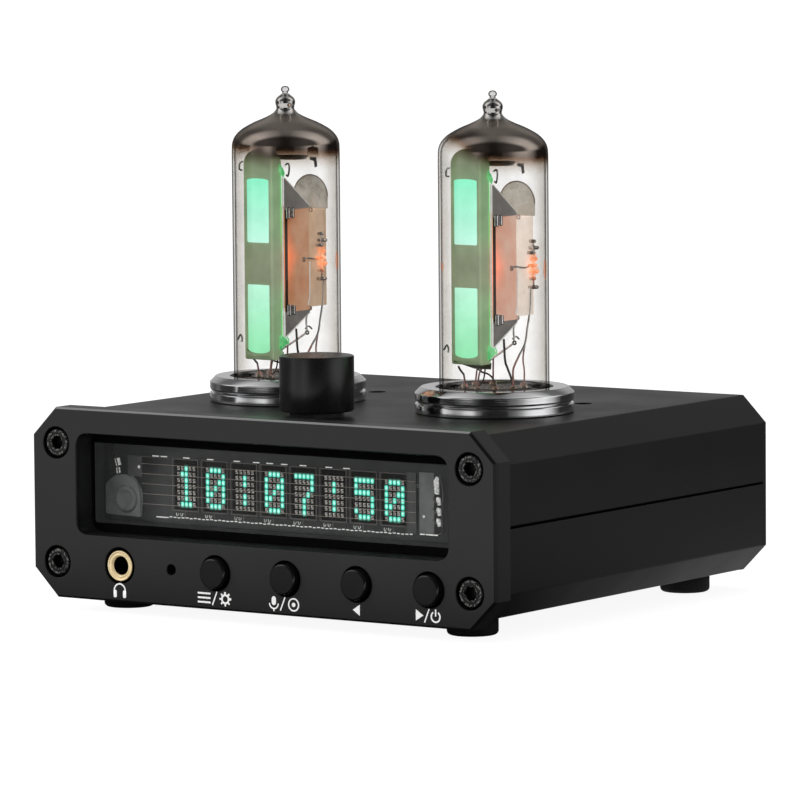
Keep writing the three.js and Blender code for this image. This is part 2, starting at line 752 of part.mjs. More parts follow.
// Upright board behind the display, notched for the headphone socket
function displayBoard() {
  const halfWidth = screwX - screwChannelDiameter / 2 - fitGap;
  const topEdge = ceilingZ - displayBoardTopGap;
  const board = block(
    [-halfWidth, displayBoardFrontY, displayBoardBottomZ],
    [halfWidth, displayBoardBackY, topEdge],
  );
  const notch = block(
    [jackX - jackBodyWidth / 2 - fitGap, displayBoardFrontY - cutOverrun, displayBoardBottomZ - cutOverrun],
    [jackX + jackBodyWidth / 2 + fitGap, displayBoardBackY + cutOverrun, mainBoardBottomZ],
  );
  place('display_board', cut(board, notch), 'board');
}

// Each button is a round cap with a flange behind the panel and a stem to its switch
function buttons() {
  const flangeFront = panelThickness + fitGap;
  const plungerTip = displayBoardFrontY - switchHeight - switchPlungerHeight - faceY;
  const stemEnd = plungerTip - buttonTravel - fitGap / 3;
  const radius = buttonDiameter / 2;
  const profile = [
    [0, -buttonProud],
    [radius - buttonRound, -buttonProud],
    [radius, buttonRound - buttonProud],
    [radius, flangeFront],
    [buttonFlangeDiameter / 2, flangeFront],
    [buttonFlangeDiameter / 2, flangeFront + buttonFlangeThickness],
    [buttonStemDiameter / 2, flangeFront + buttonFlangeThickness],
    [buttonStemDiameter / 2, stemEnd],
    [0, stemEnd],
  ];
  buttonPlaces.forEach((x, i) => {
    place(`button_${i + 1}`, turnedY(profile, x, faceY, rowZ), 'anodised');
    const bodyFront = displayBoardFrontY - switchHeight;
    const body = block(
      [x - switchWidth / 2, bodyFront, rowZ - switchWidth / 2],
      [x + switchWidth / 2, displayBoardFrontY, rowZ + switchWidth / 2],
    );
    const plungerBack = bodyFront + rootOverlap;
    const plunger = rodY(switchPlungerDiameter, x, rowZ, faceY + plungerTip, plungerBack, smallSides);
    place(`switch_${i + 1}`, join(body, plunger), 'blackPlastic');
  });
}

// Headphone socket: a moulded body under the main board and a gilt bushing in the panel
function headphoneSocket() {
  const bodyFront = bodyFrontY + fitGap;
  const body = cut(
    block(
      [jackX - jackBodyWidth / 2, bodyFront, jackZ - jackBodyHeight / 2],
      [jackX + jackBodyWidth / 2, bodyFront + jackBodyDepth, jackZ + jackBodyHeight / 2],
    ),
    rodY(jackBoreDiameter, jackX, jackZ, bodyFront - cutOverrun, bodyFront + jackBodyDepth - jackBodyWall),
  );
  place('headphone_socket', body, 'blackPlastic');
  const front = faceY - jackBushingProud;
  const bushing = cut(
    rodY(jackBushingDiameter, jackX, jackZ, front, bodyFront, turnedSides),
    rodY(jackBoreDiameter, jackX, jackZ, front - cutOverrun, bodyFront + cutOverrun),
  );
  place('headphone_bushing', bushing, 'gold');
}

function microphone() {
  const back = bodyFrontY + microphoneDepth;
  place('microphone', rodY(microphoneDiameter, microphoneX, rowZ, bodyFrontY, back), 'nickel');
}

// Line socket and power inlet, both on the main board and open through the rear panel
function rearSockets() {
  const bodyBack = bodyBackY - fitGap;
  const body = block(
    [lineJackX - jackBodyWidth / 2, bodyBack - jackBodyDepth, jackZ - jackBodyHeight / 2],
    [lineJackX + jackBodyWidth / 2, bodyBack, jackZ + jackBodyHeight / 2],
  );
  const nose = rodY(jackBushingDiameter, lineJackX, jackZ, bodyBack - rootOverlap, rearY);
  const boreEnd = bodyBack - jackBodyDepth + jackBodyWall;
  const bore = rodY(jackBoreDiameter, lineJackX, jackZ, boreEnd, rearY + cutOverrun);
  place('line_socket', cut(join(body, nose), bore), 'blackPlastic');
  const inletZ = mainBoardTopZ + fitGap + inletHeight / 2;
  const mouth = rearY - fitGap;
  const stadium = (width, height) =>
    roundedRectangle(width, height, height / 2 - fitGap / 3, inletX, inletZ);
  const inside = [inletWidth - 2 * inletWall, inletHeight - 2 * inletWall];
  const tongue = block(
    [inletX - inletTongueWidth / 2, mouth - inletDepth, inletZ - inletTongueHeight / 2],
    [inletX + inletTongueWidth / 2, mouth - inletTongueRecess, inletZ + inletTongueHeight / 2],
  );
  const shroud = cut(
    prismY(stadium(inletWidth, inletHeight), mouth - inletDepth, mouth),
    prismY(stadium(...inside), mouth - inletDepth + inletTongueRecess, mouth + cutOverrun),
  );
  place('power_inlet', join(shroud, tongue), 'nickel');
}

// Main board with its capacitors, inductor and the header that meets the tube board
function mainBoard() {
  const board = block(
    [-boardHalfWidth, boardFrontY, mainBoardBottomZ],
    [boardHalfWidth, boardBackY, mainBoardTopZ],
  );
  const sunk = mainBoardTopZ - rootOverlap;
  const headroom = tubeBoardBottomZ - mainBoardTopZ;
  const middleY = (boardFrontY + boardBackY) / 2;
  const tall = Math.min(capacitorHeight, headroom - fitGap);
  const capacitors = Array.from({ length: capacitorCount }, (_, i) => {
    const x = i * capacitorPitch - tubeSpacing / 2;
    return rodZ(capacitorDiameter, x, middleY, sunk, mainBoardTopZ + tall, smallSides);
  });
  const inductor = block(
    [tubeSpacing / 2, middleY - inductorWidth / 2, sunk],
    [tubeSpacing / 2 + inductorWidth, middleY + inductorWidth / 2, mainBoardTopZ + inductorHeight],
  );
  const header = block(
    [-headerWidth / 2, boardFrontY + headerDepth, sunk],
    [headerWidth / 2, boardFrontY + 2 * headerDepth, tubeBoardBottomZ - fitGap],
  );
  place('main_board', join(board, ...capacitors, inductor, header), 'board');
}

function tubeBoard() {
  const board = block(
    [-boardHalfWidth, boardFrontY, tubeBoardBottomZ],
    [boardHalfWidth, boardBackY, tubeBoardTopZ],
  );
  place('tube_board', board, 'board');
}

// Potentiometer: body on the tube board, threaded bushing through the top, nut and shaft
function potentiometer() {
  const bodyTop = ceilingZ - fitGap;
  const bushingTop = topZ + bushingAboveTop;
  const shaftBottom = tubeBoardTopZ + potentiometerFloor;
  const body = block(
    [-potentiometerWidth / 2, knobY - potentiometerFront, tubeBoardTopZ],
    [potentiometerWidth / 2, knobY + potentiometerBack, bodyTop],
  );
  const bushing = rodZ(bushingDiameter, 0, knobY, bodyTop - rootOverlap, bushingTop);
  const shaftBore = shaftDiameter + fitGap;
  const bore = rodZ(shaftBore, 0, knobY, shaftBottom - fitGap, bushingTop + cutOverrun);
  place('potentiometer', cut(join(body, bushing), bore), 'nickel');
  const nut = cut(
    prismZ(hexagon(nutWidth, 0, knobY), topZ, topZ + nutHeight),
    rodZ(bushingDiameter + fitGap, 0, knobY, topZ - cutOverrun, topZ + nutHeight + cutOverrun),
  );
  place('potentiometer_nut', nut, 'nickel');
  const knobTop = topZ + knobLift + knobHeight;
  const shaftTop = knobTop - knobCap - fitGap;
  const flatBottom = bushingTop + fitGap;
  const round = rodZ(shaftDiameter, 0, knobY, shaftBottom, shaftTop);
  const flat = (gap, low, high) => block(
    [-shaftDiameter, knobY + shaftDiameter / 2 - shaftFlat + gap, low],
    [shaftDiameter, knobY + shaftDiameter, high],
  );
  place('potentiometer_shaft', cut(round, flat(0, flatBottom, shaftTop + cutOverrun)), 'nickel');
  const radius = knobDiameter / 2;
  const knobBottom = topZ + knobLift;
  const rounding = Array.from({ length: 4 }, (_, i) => {
    const angle = (i / 3) * (Math.PI / 2);
    const inward = knobRound * (1 - Math.cos(angle));
    return [radius - inward, knobTop - knobRound * (1 - Math.sin(angle))];
  });
  const outside = turnedZ([
    [0, knobBottom],
    [radius - knobRound / 2, knobBottom],
    [radius, knobBottom + knobRound / 2],
    ...rounding,
    [0, knobTop],
  ], 0, knobY, fineSides);
  const recessTop = knobBottom + knobRecessHeight;
  const recess = rodZ(knobDiameter - 2 * knobSkirt, 0, knobY, knobBottom - cutOverrun, recessTop);
  const boreTop = knobTop - knobCap;
  const keyed = cut(
    rodZ(shaftDiameter + 2 * fitGap, 0, knobY, knobBottom, boreTop),
    flat(fitGap, recessTop, boreTop + cutOverrun),
  );
  place('knob', cut(outside, recess, keyed), 'knobBlack');
}

// Turned steel ring: base disc, lit lip, groove, upper disc and a broad top bevel
function tubeRing(side, x) {
  const [outer, hole] = [ringDiameter / 2, ringHoleDiameter / 2];
  const grooveBottom = ringBaseHeight;
  const grooveTop = grooveBottom + ringGrooveHeight;
  const profile = [
    [hole, 0],
    [outer - ringUndercut, 0],
    [outer, ringUndercut],
    [outer, grooveBottom - ringLip],
    [outer - ringLip, grooveBottom],
    [outer - ringGrooveDepth, grooveBottom],
    [outer - ringGrooveDepth, grooveTop - ringLip],
    [outer, grooveTop + ringLip],
    [outer, ringHeight - ringTopBevel],
    [outer - ringTopBevel, ringHeight],
    [hole, ringHeight],
    [hole, 0],
  ];
  const raised = profile.map(([radius, height]) => [radius, topZ + height]);
  place(`tube_ring_${side}`, turnedZ(raised, x, tubeY, fineSides), 'steel');
}

// Places of the nine pins: ten equal steps round a circle with one left out
function pinPlaces(x) {
  const step = (2 * Math.PI) / pinPositions;
  return Array.from({ length: pinPositions - 1 }, (_, i) => {
    const angle = Math.PI / 2 + (i + 1) * step;
    const radius = pinCircleDiameter / 2;
    return [x + radius * Math.cos(angle), tubeY + radius * Math.sin(angle)];
  });
}

function tubeSocket(side, x) {
  const [low, high] = [tubeBoardTopZ, seatZ];
  const pinHole = pinDiameter + 2 * fitGap;
  const holes = pinPlaces(x).map(([px, py]) =>
    rodZ(pinHole, px, py, low - cutOverrun, high + cutOverrun, pinSides));
  const centre = rodZ(socketCentreHole, x, tubeY, low - cutOverrun, high + cutOverrun, smallSides);
  const body = rodZ(socketDiameter, x, tubeY, low, high, turnedSides);
  place(`tube_socket_${side}`, cut(body, centre, ...holes), 'ceramic');
}

// Pressed glass base with its pins below and the stiff leads that carry the electrodes
function tubeBase(side, x) {
  const rimZ = seatZ + buttonGlassHeight;
  const bossZ = rimZ + buttonBossHeight;
  const profile = [
    [0, seatZ],
    [buttonGlassDiameter / 2 - buttonGlassHeight / 2, seatZ],
    [buttonGlassDiameter / 2, seatZ + buttonGlassHeight / 2],
    [buttonGlassDiameter / 2, rimZ],
    [buttonBossDiameter / 2, rimZ],
    [buttonBossDiameter / 2 - buttonBossHeight / 2, bossZ],
    [0, bossZ],
  ];
  const pins = pinPlaces(x).map(([px, py]) =>
    rodZ(pinDiameter, px, py, seatZ - pinReach, seatZ + rootOverlap, pinSides));
  const lead = (dx, dy, height) =>
    rodZ(leadDiameter, x + dx, tubeY + dy, rimZ - rootOverlap, seatZ + height - fitGap, pinSides);
  const targetMiddle = targetDepth / 2 - targetForward;
  const cageFront = targetDepth - targetForward + fitGap;
  const targetSide = targetWidth / 2 - targetSheet / 2;
  const leads = [
    lead(-targetSide, targetMiddle, targetBottom),
    lead(targetSide, targetMiddle, targetBottom),
    lead(cageSheet / 2 - cageWidth / 2, cageFront + leadDiameter / 2, cageFrontBottom),
    lead(cageWidth / 2 - cageSheet / 2, cageFront + leadDiameter / 2, cageFrontBottom),
    lead(0, shieldBack - shieldSheet / 2, shieldBottom),
  ];
  place(`tube_base_${side}`, join(turnedZ(profile, x, tubeY), ...pins, ...leads), 'darkGlass');
}

// Blown bulb: straight wall, drawn-in shoulder, waisted nipple and sealed tip
function tubeBulb(side, x) {
  const radius = bulbDiameter / 2;
  const scaled = (shares, across, up) =>
    shares.map(([r, h]) => new THREE.Vector2(r * across, seatZ + h * up));
  const smooth = (shares, across, up, steps) =>
    new THREE.SplineCurve(scaled(shares, across, up)).getPoints(steps).map((p) => [p.x, p.y]);
  const rimZ = seatZ + buttonGlassHeight;
  const inner = radius - bulbWall;
  const outside = [
    [radius, rimZ],
    ...smooth(bulbShoulderShares, radius, bulbHeight, 8),
    ...smooth(bulbNippleShares, radius, bulbHeight, 4),
    ...smooth(bulbTipShares, radius, bulbHeight, 3),
    [0, seatZ + bulbHeight],
  ];
  const dome = smooth(bulbDomeShares, inner, bulbHeight, 4);
  const inside = [[0, dome[dome.length - 1][1]], ...dome.reverse(), [inner, rimZ]];
  place(`tube_bulb_${side}`, turnedZ([...outside, ...inside, [radius, rimZ]], x, tubeY), 'glass');
}

// Screen trough with its arched head, electrode cage, rear shield and getter
function tubeElectrodes(side, x) {
  const frontY = tubeY - targetForward;
  const targetBackY = frontY + targetDepth;
  const arch = (inset) => archOutline(
    targetWidth - 2 * inset,
    seatZ + targetBottom + inset,
    seatZ + targetBottom + targetLength - inset,
    targetArch - inset,
    x,
  );
  const trough = cut(
    prismY(arch(0), frontY, targetBackY),
    prismY(arch(targetSheet), frontY + targetSheet, targetBackY + cutOverrun),
  );
  place(`tube_target_${side}`, trough, 'phosphor');
  const cageFrontY = targetBackY + fitGap;
  const cageBackY = cageFrontY + cageDepth;
  const cageSide = (bottomFront, topFront, bottomRear, topRear, backY) => {
    const shape = new THREE.Shape();
    shape.moveTo(cageFrontY, seatZ + bottomFront);
    shape.lineTo(backY, seatZ + bottomRear);
    shape.lineTo(backY, seatZ + topRear);
    shape.lineTo(cageFrontY, seatZ + topFront);
    return shape;
  };
  const outer = cageSide(cageFrontBottom, cageFrontTop, cageRearBottom, cageRearTop, cageBackY);
  const hollow = cageSide(
    cageFrontBottom + cageSheet,
    cageFrontTop - cageSheet,
    cageRearBottom + cageSheet,
    cageRearTop - cageSheet,
    cageBackY - cageSheet,
  );
  const half = cageWidth / 2;
  const cage = cut(
    prismX(outer, x - half, x + half),
    prismX(hollow, x - half + cageSheet, x + half - cageSheet),
  );
  place(`tube_cage_${side}`, cage, 'cage');
  const shield = archOutline(shieldWidth, seatZ + shieldBottom, seatZ + shieldTop, shieldArch, x);
  const shieldBackY = tubeY + shieldBack;
  place(`tube_shield_${side}`, prismY(shield, shieldBackY - shieldSheet, shieldBackY), 'mica');
  const ringZ = seatZ + getterHeight;
  const [wide, narrow] = [getterDiameter / 2, getterDiameter / 2 - getterSection];
  const ring = turnedZ([
    [narrow, ringZ],
    [wide, ringZ],
    [wide, ringZ + getterSheet],
    [narrow, ringZ + getterSheet],
    [narrow, ringZ],
  ], x, tubeY + getterBack, roundSides);
  const strapHalf = getterStrapWidth / 2;
  const arm = block(
    [x - strapHalf, tubeY + getterBack + narrow + getterSheet, ringZ],
    [x + strapHalf, shieldBackY, ringZ + getterSheet],
  );
  const leg = block(
    [x - strapHalf, shieldBackY - shieldSheet, seatZ + shieldTop + fitGap],
    [x + strapHalf, shieldBackY, ringZ + getterSheet],
  );
  place(`tube_getter_${side}`, join(ring, arm, leg), 'nickel');
}

// Trimmer: a moulded body on the tube board with a slotted rotor under the hole in the top
function trimmer(side, x) {
  const [centreX, half] = [x + trimmerAside, trimmerWidth / 2];
  const bodyTop = tubeBoardTopZ + trimmerHeight;
  const body = cut(
    block([centreX - half, trimmerY - half, tubeBoardTopZ], [centreX + half, trimmerY + half, bodyTop]),
    rodZ(rotorDiameter + 2 * fitGap, centreX, trimmerY, bodyTop - rotorSeat - fitGap, bodyTop + cutOverrun),
  );
  place(`trimmer_${side}`, body, 'bluePlastic');
  const rotorBottom = bodyTop - rotorSeat;
  const rotorTop = rotorBottom + rotorHeight;
  const slot = block(
    [centreX - rotorDiameter, trimmerY - rotorSlot / 2, rotorTop - rotorSlotDepth],
    [centreX + rotorDiameter, trimmerY + rotorSlot / 2, rotorTop + cutOverrun],
  );
  const rotor = cut(rodZ(rotorDiameter, centreX, trimmerY, rotorBottom, rotorTop), slot);
  place(`trimmer_rotor_${side}`, rotor, 'whitePlastic');
}

frontPanel();
upperShell();
lowerShell();
rearPanel();
screws();
feet();
displayGasket();
displayGlassware();
displayLeadFrame();
displayBoard();
buttons();
headphoneSocket();
microphone();
rearSockets();
mainBoard();
tubeBoard();
potentiometer();
for (const [side, x] of tubeSides) {
  tubeRing(side, x);
  tubeSocket(side, x);
  tubeBase(side, x);
  tubeBulb(side, x);
  tubeElectrodes(side, x);
  trimmer(side, x);
}

export default model;
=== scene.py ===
# %% [markdown]
# # A desktop tube amplifier with a clock display
# The object is a black aluminium case with a small lit display, four buttons, a knob and two
# glass indicator tubes in steel rings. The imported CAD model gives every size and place. This
# lesson dresses it: first the view and the light, then finishes, then piece after piece.
# %% Load the frame
import bmesh
import bpy
import numpy as np
from mathutils import Matrix, Vector
from mathutils.geometry import tessellate_polygon


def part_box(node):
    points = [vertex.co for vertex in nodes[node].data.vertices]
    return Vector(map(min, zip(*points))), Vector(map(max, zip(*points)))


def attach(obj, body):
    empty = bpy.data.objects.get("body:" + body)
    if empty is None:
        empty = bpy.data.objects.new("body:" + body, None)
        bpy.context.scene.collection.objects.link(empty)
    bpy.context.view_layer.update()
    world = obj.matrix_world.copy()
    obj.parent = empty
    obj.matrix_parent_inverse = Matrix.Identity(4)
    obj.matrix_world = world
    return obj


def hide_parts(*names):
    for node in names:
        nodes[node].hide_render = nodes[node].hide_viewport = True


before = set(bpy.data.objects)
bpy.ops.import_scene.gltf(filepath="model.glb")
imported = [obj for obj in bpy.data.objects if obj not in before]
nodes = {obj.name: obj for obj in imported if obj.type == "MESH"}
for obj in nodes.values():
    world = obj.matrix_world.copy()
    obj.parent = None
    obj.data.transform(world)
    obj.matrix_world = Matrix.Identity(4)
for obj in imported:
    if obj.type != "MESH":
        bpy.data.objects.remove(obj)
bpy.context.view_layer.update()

# %% [markdown]
# ## The view
# A photographer stands well back with a long lens, so the case shows almost no perspective. The
# camera could be aimed with a constraint, but its place and its three directions are known, so
# they go straight into its matrix. The lens is for a picture as wide as it is high.
# %% Camera
def placed(name, data, matrix=None):
    """A new object in the scene, where its matrix says."""
    made = bpy.data.objects.new(name, data)
    bpy.context.scene.collection.objects.link(made)
    if matrix is not None:
        made.matrix_world = matrix
    return made


view_right = (0.823330, 0.567511, -0.007685)
view_up = (-0.047196, 0.081951, 0.995518)
view_back = (0.565597, -0.819277, 0.094256)
view_from = Matrix.Translation((0.66411, -0.96296, 0.14999))
view_turn = Matrix((view_right, view_up, view_back)).transposed().to_4x4()
camera = placed("camera", bpy.data.cameras.new("camera"), view_from @ view_turn)
camera.data.lens, camera.data.sensor_width = 270.1, 36
camera.data.clip_start, camera.data.clip_end = 0.05, 60
bpy.context.scene.camera = camera
print("camera lens", camera.data.lens)

# %% [markdown]
# ## Working in node trees
# A finish is a small tree of shader nodes. Building it by hand in the editor is slow to repeat,
# so these helpers add one node at a time to the tree on the bench. A node's output is wrapped as a
# signal, so that arithmetic on signals can be written plainly, and each sign adds a Math node.
# Colours are written as they look on a screen, 0 to 255, and turned into linear light.
# %% Node helpers
bench = {}


class Signal:
    """A node's output. A sum, product, power or comparison of signals is a Math node."""

    def __init__(self, socket):
        self.socket = socket

    def __add__(self, other):
        return maths("ADD", self, other)

    def __sub__(self, other):
        return maths("SUBTRACT", self, other)

    def __mul__(self, other):
        return maths("MULTIPLY", self, other)

    def __pow__(self, other):
        return maths("POWER", self, other)

    def __gt__(self, other):
        return maths("GREATER_THAN", self, other)

    def __lt__(self, other):
        return maths("LESS_THAN", self, other)

    def __abs__(self):
        return maths("ABSOLUTE", self)


def paint(red, green, blue):
    """A screen colour as linear light: below a small value a plain share, above it a power."""
    c = np.array([red, green, blue]) / 255
    return tuple(np.where(c <= 0.04045, c / 12.92, ((c + 0.055) / 1.055) ** 2.4))


def add(kind, links=None, out=0, **settings):
    """One new node. Each input in links gets a value or a signal; settings are its own options."""
    node = bench["tree"].nodes.new("ShaderNode" + kind)
    for key, value in settings.items():
        setattr(node, key, value)
    for key, value in (links or {}).items():
        socket = node.inputs[key]
        if isinstance(value, Signal):
            bench["tree"].links.new(value.socket, socket)
        elif socket.type == "RGBA" and len(value) == 3:
            socket.default_value = (*value, 1)
        else:
            socket.default_value = value
    return Signal(node.outputs[out]) if node.outputs else None


def blank(name):
    """Puts a new material with an empty tree on the bench."""
    bench["material"] = bpy.data.materials.new(name)
    bench["material"].use_nodes = True
    bench["tree"] = bench["material"].node_tree
    bench["tree"].nodes.clear()


def surface(shader):
    """The shader becomes the surface of the material on the bench, which is now ready."""
    add("OutputMaterial", {"Surface": shader})
    print("finish", bench["material"].name, "of", len(bench["tree"].nodes), "nodes")
    return bench["material"]


def millimetres(centre=(0, 0, 0)):
    """Object coordinates counted in millimetres from a centre."""
    return add("Mapping", {"Vector": add("TexCoord", out=3), "Location": [-c for c in centre], "Scale": [1000] * 3})


def noise(vector, scale, detail=2.0, twist=0.0):
    """Cloudy noise with so many cells in each unit of the vector."""
    return add("TexNoise", {"Vector": vector, "Scale": scale, "Detail": detail, "Distortion": twist})


def span(value, low, high, to_low=0.0, to_high=1.0, kind="LINEAR"):
    """value between low and high, carried over to between to_low and to_high."""
    return add("MapRange", {"Value": value, "From Min": low, "From Max": high, "To Min": to_low,
                            "To Max": to_high}, interpolation_type=kind)


def ease(value, low, high, to_low=0.0, to_high=1.0):
    """As span, but it starts and ends gently."""
    return span(value, low, high, to_low, to_high, "SMOOTHSTEP")


def maths(operation, first, second=0.5):
    """One Math node."""
    return add("Math", {0: first, 1: second}, operation=operation)


def larger(first, second):
    """The larger of two signals."""
    return maths("MAXIMUM", first, second)


def distance(u, v):
    """The root of the sum of two squares."""
    return maths("SQRT", u * u + v * v)


def mixed(share, first, second, way="MIX"):
    """Two colours mixed by a share."""
    return add("Mix", {0: share, 6: first, 7: second}, out=2, data_type="RGBA", blend_type=way)


def blended(share, first, second):
    """Two numbers or two shaders mixed by a share."""
    if isinstance(second, Signal) and second.socket.type == "SHADER":
        return add("MixShader", {0: share, 1: first, 2: second})
    return add("Mix", {0: share, 2: first, 3: second})


def axes(vector):
    """The three parts of a vector."""
    return [Signal(s) for s in add("SeparateXYZ", {"Vector": vector}).socket.node.outputs]


def ramp(value, stops):
    """A colour ramp over a value: each stop is a place from 0 to 1 and its colour."""
    made = add("ValToRGB", {"Fac": value})
    elements = made.socket.node.color_ramp.elements
    while len(elements) < len(stops):
        elements.new(1.0)
    for element, (place, colour) in zip(elements, stops):
        element.position, element.color = place, (*colour, 1)
    return made


def principled(colour, rough, metal=0.0, height=None, relief=0.2, depth=0.00003, glow=None, gloss=0.5,
               strength=1.0):
    """The everyday shader. height dents the surface, and glow is the light that it gives itself."""
    inputs = {"Base Color": colour, "Roughness": rough, "Metallic": metal, "Specular IOR Level": gloss}
    if height:
        inputs["Normal"] = add("Bump", {"Height": height, "Strength": relief, "Distance": depth})
    if glow:
        inputs.update({"Emission Color": glow, "Emission Strength": strength})
    return add("BsdfPrincipled", inputs)


def grained(dark, pale, rough, patch, grain):
    """Slow noise drifts a colour and a roughness. The fine noise in it dents the surface too."""
    where = millimetres()
    fine = noise(where, grain)
    tint = noise(where, patch, 4.0) * 0.7 + fine * 0.3
    return where, fine, mixed(span(tint, 0.32, 0.68), dark, pale), span(tint, 0.3, 0.7, *rough)


def finish(name, dark, pale, rough=(0.4, 0.5), metal=0.0, patch=0.12, grain=5.0, relief=0.2,
           depth=0.00003, **more):
    """A solid finish between two colours and two roughnesses."""
    blank(name)
    _, fine, colour, roughness = grained(dark, pale, rough, patch, grain)
    return surface(principled(colour, roughness, metal, fine, relief, depth, **more))


print("node helpers ready, mid grey is", round(paint(128, 128, 128)[0], 3))

# %% [markdown]
# ## Light, world and floor
# The photograph was taken in a white studio. The world is a plain soft light for the surfaces,
# while the camera and glass see white; polished metal also needs something dark to show, so the
# directions where the photographer and black flags stand are darker in mirrors. The floor is a
# wide pale sheet that adds white where it is seen, and still keeps the shadow; in mirrors, it also
# shows a painted shadow near the object.
# %% World and floor
def seen_rays():
    """1 for a ray from the camera, a mirror or glass, otherwise 0; then 1 for a mirror's alone."""
    outputs = add("LightPath").socket.node.outputs
    names = ("Is Camera Ray", "Is Glossy Ray", "Is Transmission Ray")
    eye, mirror, glass = [Signal(outputs[name]) for name in names]
    return larger(larger(eye, mirror), glass), mirror


def flag_bands(x, y):
    """The greys that mirrors show round the object, over the turn from straight ahead of its
    front, as a share of a full round. Each stop is a place and a grey, in thousandths."""
    stops = [(0, 60), (35, 250), (90, 500), (140, 420), (180, 160), (225, 80), (255, 140), (285, 40), (344, 30),
             (362, 70), (374, 820), (400, 600), (426, 340), (453, 420), (472, 700), (496, 820), (507, 700),
             (521, 260), (540, 90), (547, 30), (570, 12), (643, 20), (651, 80), (680, 170), (705, 360), (728, 750),
             (755, 970), (800, 1000), (842, 580), (868, 200), (892, 30), (985, 30)]
    turn = maths("ARCTAN2", x, y * -1.0)
    return ramp(span(turn, -np.pi, np.pi), [(place / 1000, [grey / 1000] * 3) for place, grey in stops])


def along(way):
    """How far each direction goes along a given one."""
    return add("VectorMath", {0: add("TexCoord"), 1: way}, out=1, operation="DOT_PRODUCT")


world = bpy.data.worlds.new("studio")
world.use_nodes = True
bpy.context.scene.world = world
bench["tree"] = world.node_tree
world.node_tree.nodes.clear()
seen, mirror = seen_rays()
x_way, y_way, z_way = axes(add("TexCoord"))
# above, the studio has a pale box on either side of the object and is dark elsewhere
backwards = along((-0.57, 0.82, 0))
boxes = span(abs(along((0.82, 0.57, 0))), 0.08, 0.62, 0.15, 0.92) * span(backwards, 0.27, 0.5, 1.0, 0.2)
above = larger(boxes, ease(backwards, 0.6, 0.95, 0.1, 0.4)) * ease(along((0.57, -0.82, 0)), 0.04, 0.34, 1.0, 0.12)
mirrored = mixed(ease(z_way, 0.13, 0.32), flag_bands(x_way, y_way), above)
# the plain light is stronger from the front and the left
soft = span(along((-0.45, -0.75, 0.2)), -0.9, 0.9, 0.12, 1.15)
colour = mixed(seen, soft, mixed(mirror, (1, 1, 1), mirrored))
add("OutputWorld", {"Surface": add("Background", {"Color": colour, "Strength": 1.0})})

reach = 12
floor_mesh = bpy.data.meshes.new("floor")
floor_mesh.from_pydata([(-reach, -reach, 0), (reach, -reach, 0), (reach, reach, 0), (-reach, reach, 0)],
                       [], [(0, 1, 2, 3)])
floor = placed("floor", floor_mesh)
blank("floor_paper")
seen, mirror = seen_rays()
x, y, z = axes(add("TexCoord", out=3))
# painted shadow: in mirrors, the floor is darker close to the object, most under and behind it
behind = span(y, -0.03, 0.065, 0.0, 0.55) * span(abs(x), 0.058, 0.068, 1.0, 0.48)
painted_floor_shadow = ease(y, -0.1, -0.062, 0.8, 0.03) + behind
in_mirrors = mixed(span(distance(x, y), 0.25, 0.36), painted_floor_shadow, flag_bands(x, y))
added = add("Emission", {"Color": mixed(mirror, (0.92, 0.92, 0.92), in_mirrors), "Strength": seen})
plain = add("AddShader", {0: add("BsdfDiffuse", {"Color": (0.22, 0.22, 0.22)}), 1: added})
floor_mesh.materials.append(surface(blended(mirror, plain, added)))


def softbox(name, place, target, width, height, level):
    """A flat soft lamp that faces a target. level is how bright its own face is."""
    lamp = bpy.data.lights.new(name, "AREA")
    lamp.shape, lamp.size, lamp.size_y = "RECTANGLE", width, height
    lamp.energy = level * np.pi * width * height
    aim = (Vector(place) - Vector(target)).to_track_quat("Z", "Y").to_matrix().to_4x4()
    made = placed(name, lamp, Matrix.Translation(place) @ aim)
    made.visible_camera = made.visible_glossy = False
    print(name, "energy", round(lamp.energy, 2))


softbox("softbox_over", (-0.25, 0.1, 1.3), (0, 0, 0.04), 1.2, 1.2, 0.45)
softbox("softbox_left", (-1.3, 0.05, 0.85), (0, 0, 0.05), 0.45, 1.2, 3.0)
softbox("softbox_front", (-0.8, -1.5, 0.8), (0, 0, 0.05), 0.9, 0.9, 2.0)
bpy.context.scene.view_settings.view_transform = "Standard"

# %% [markdown]
# ## Shapes
# Nearly everything here is turned, stamped or bent. A turned shape is a profile carried round an
# axis; a stamped one is an outline with holes carried through a few levels, which also gives it
# its small bevels; a wire is a round section carried along a smooth path. Each helper works out
# all its points as one numpy array. Primitives with Booleans could do it, but leave no bevels.
# %% Shape helpers
MM = 0.001


def quads(rows, columns, closed=False):
    """Corner numbers of the faces between neighbours on a grid of rows and columns. The columns
    go all the way round, and the rows too where closed."""
    r = np.arange(rows if closed else rows - 1)[:, None]
    c = np.arange(columns)[None, :]
    r2, c2 = (r + 1) % rows, (c + 1) % columns
    corners = [r * columns + c, r * columns + c2, r2 * columns + c2, r2 * columns + c]
    return np.stack(corners, -1).reshape(-1, 4)


def rounds(sides):
    """The cosines and sines of evenly spaced turns."""
    angle = np.linspace(0, 2 * np.pi, sides, endpoint=False)
    return np.cos(angle), np.sin(angle)


def unit(rows):
    """Each row over its own length."""
    return rows / np.maximum(np.linalg.norm(rows, axis=1), 1e-9)[:, None]


def turned(profile, centre=(0, 0, 0), axis="z", sides=96):
    """Point (step, turn) is the centre, plus the profile's radius at that step in the direction
    of the turn, plus its height along the axis. A profile that ends where it began is a loop."""
    profile = np.asarray(profile, float)
    loop = np.allclose(profile[0], profile[-1]) and profile[0, 0] > 0
    profile = profile[:-1] if loop else profile
    one, two = [profile[:, :1] * turn for turn in rounds(sides)]
    height = profile[:, 1:] + 0 * one
    order = (one, two, height) if axis == "z" else (one, height, two)
    return np.stack(order, -1).reshape(-1, 3) + np.array(centre), quads(len(profile), sides, loop)


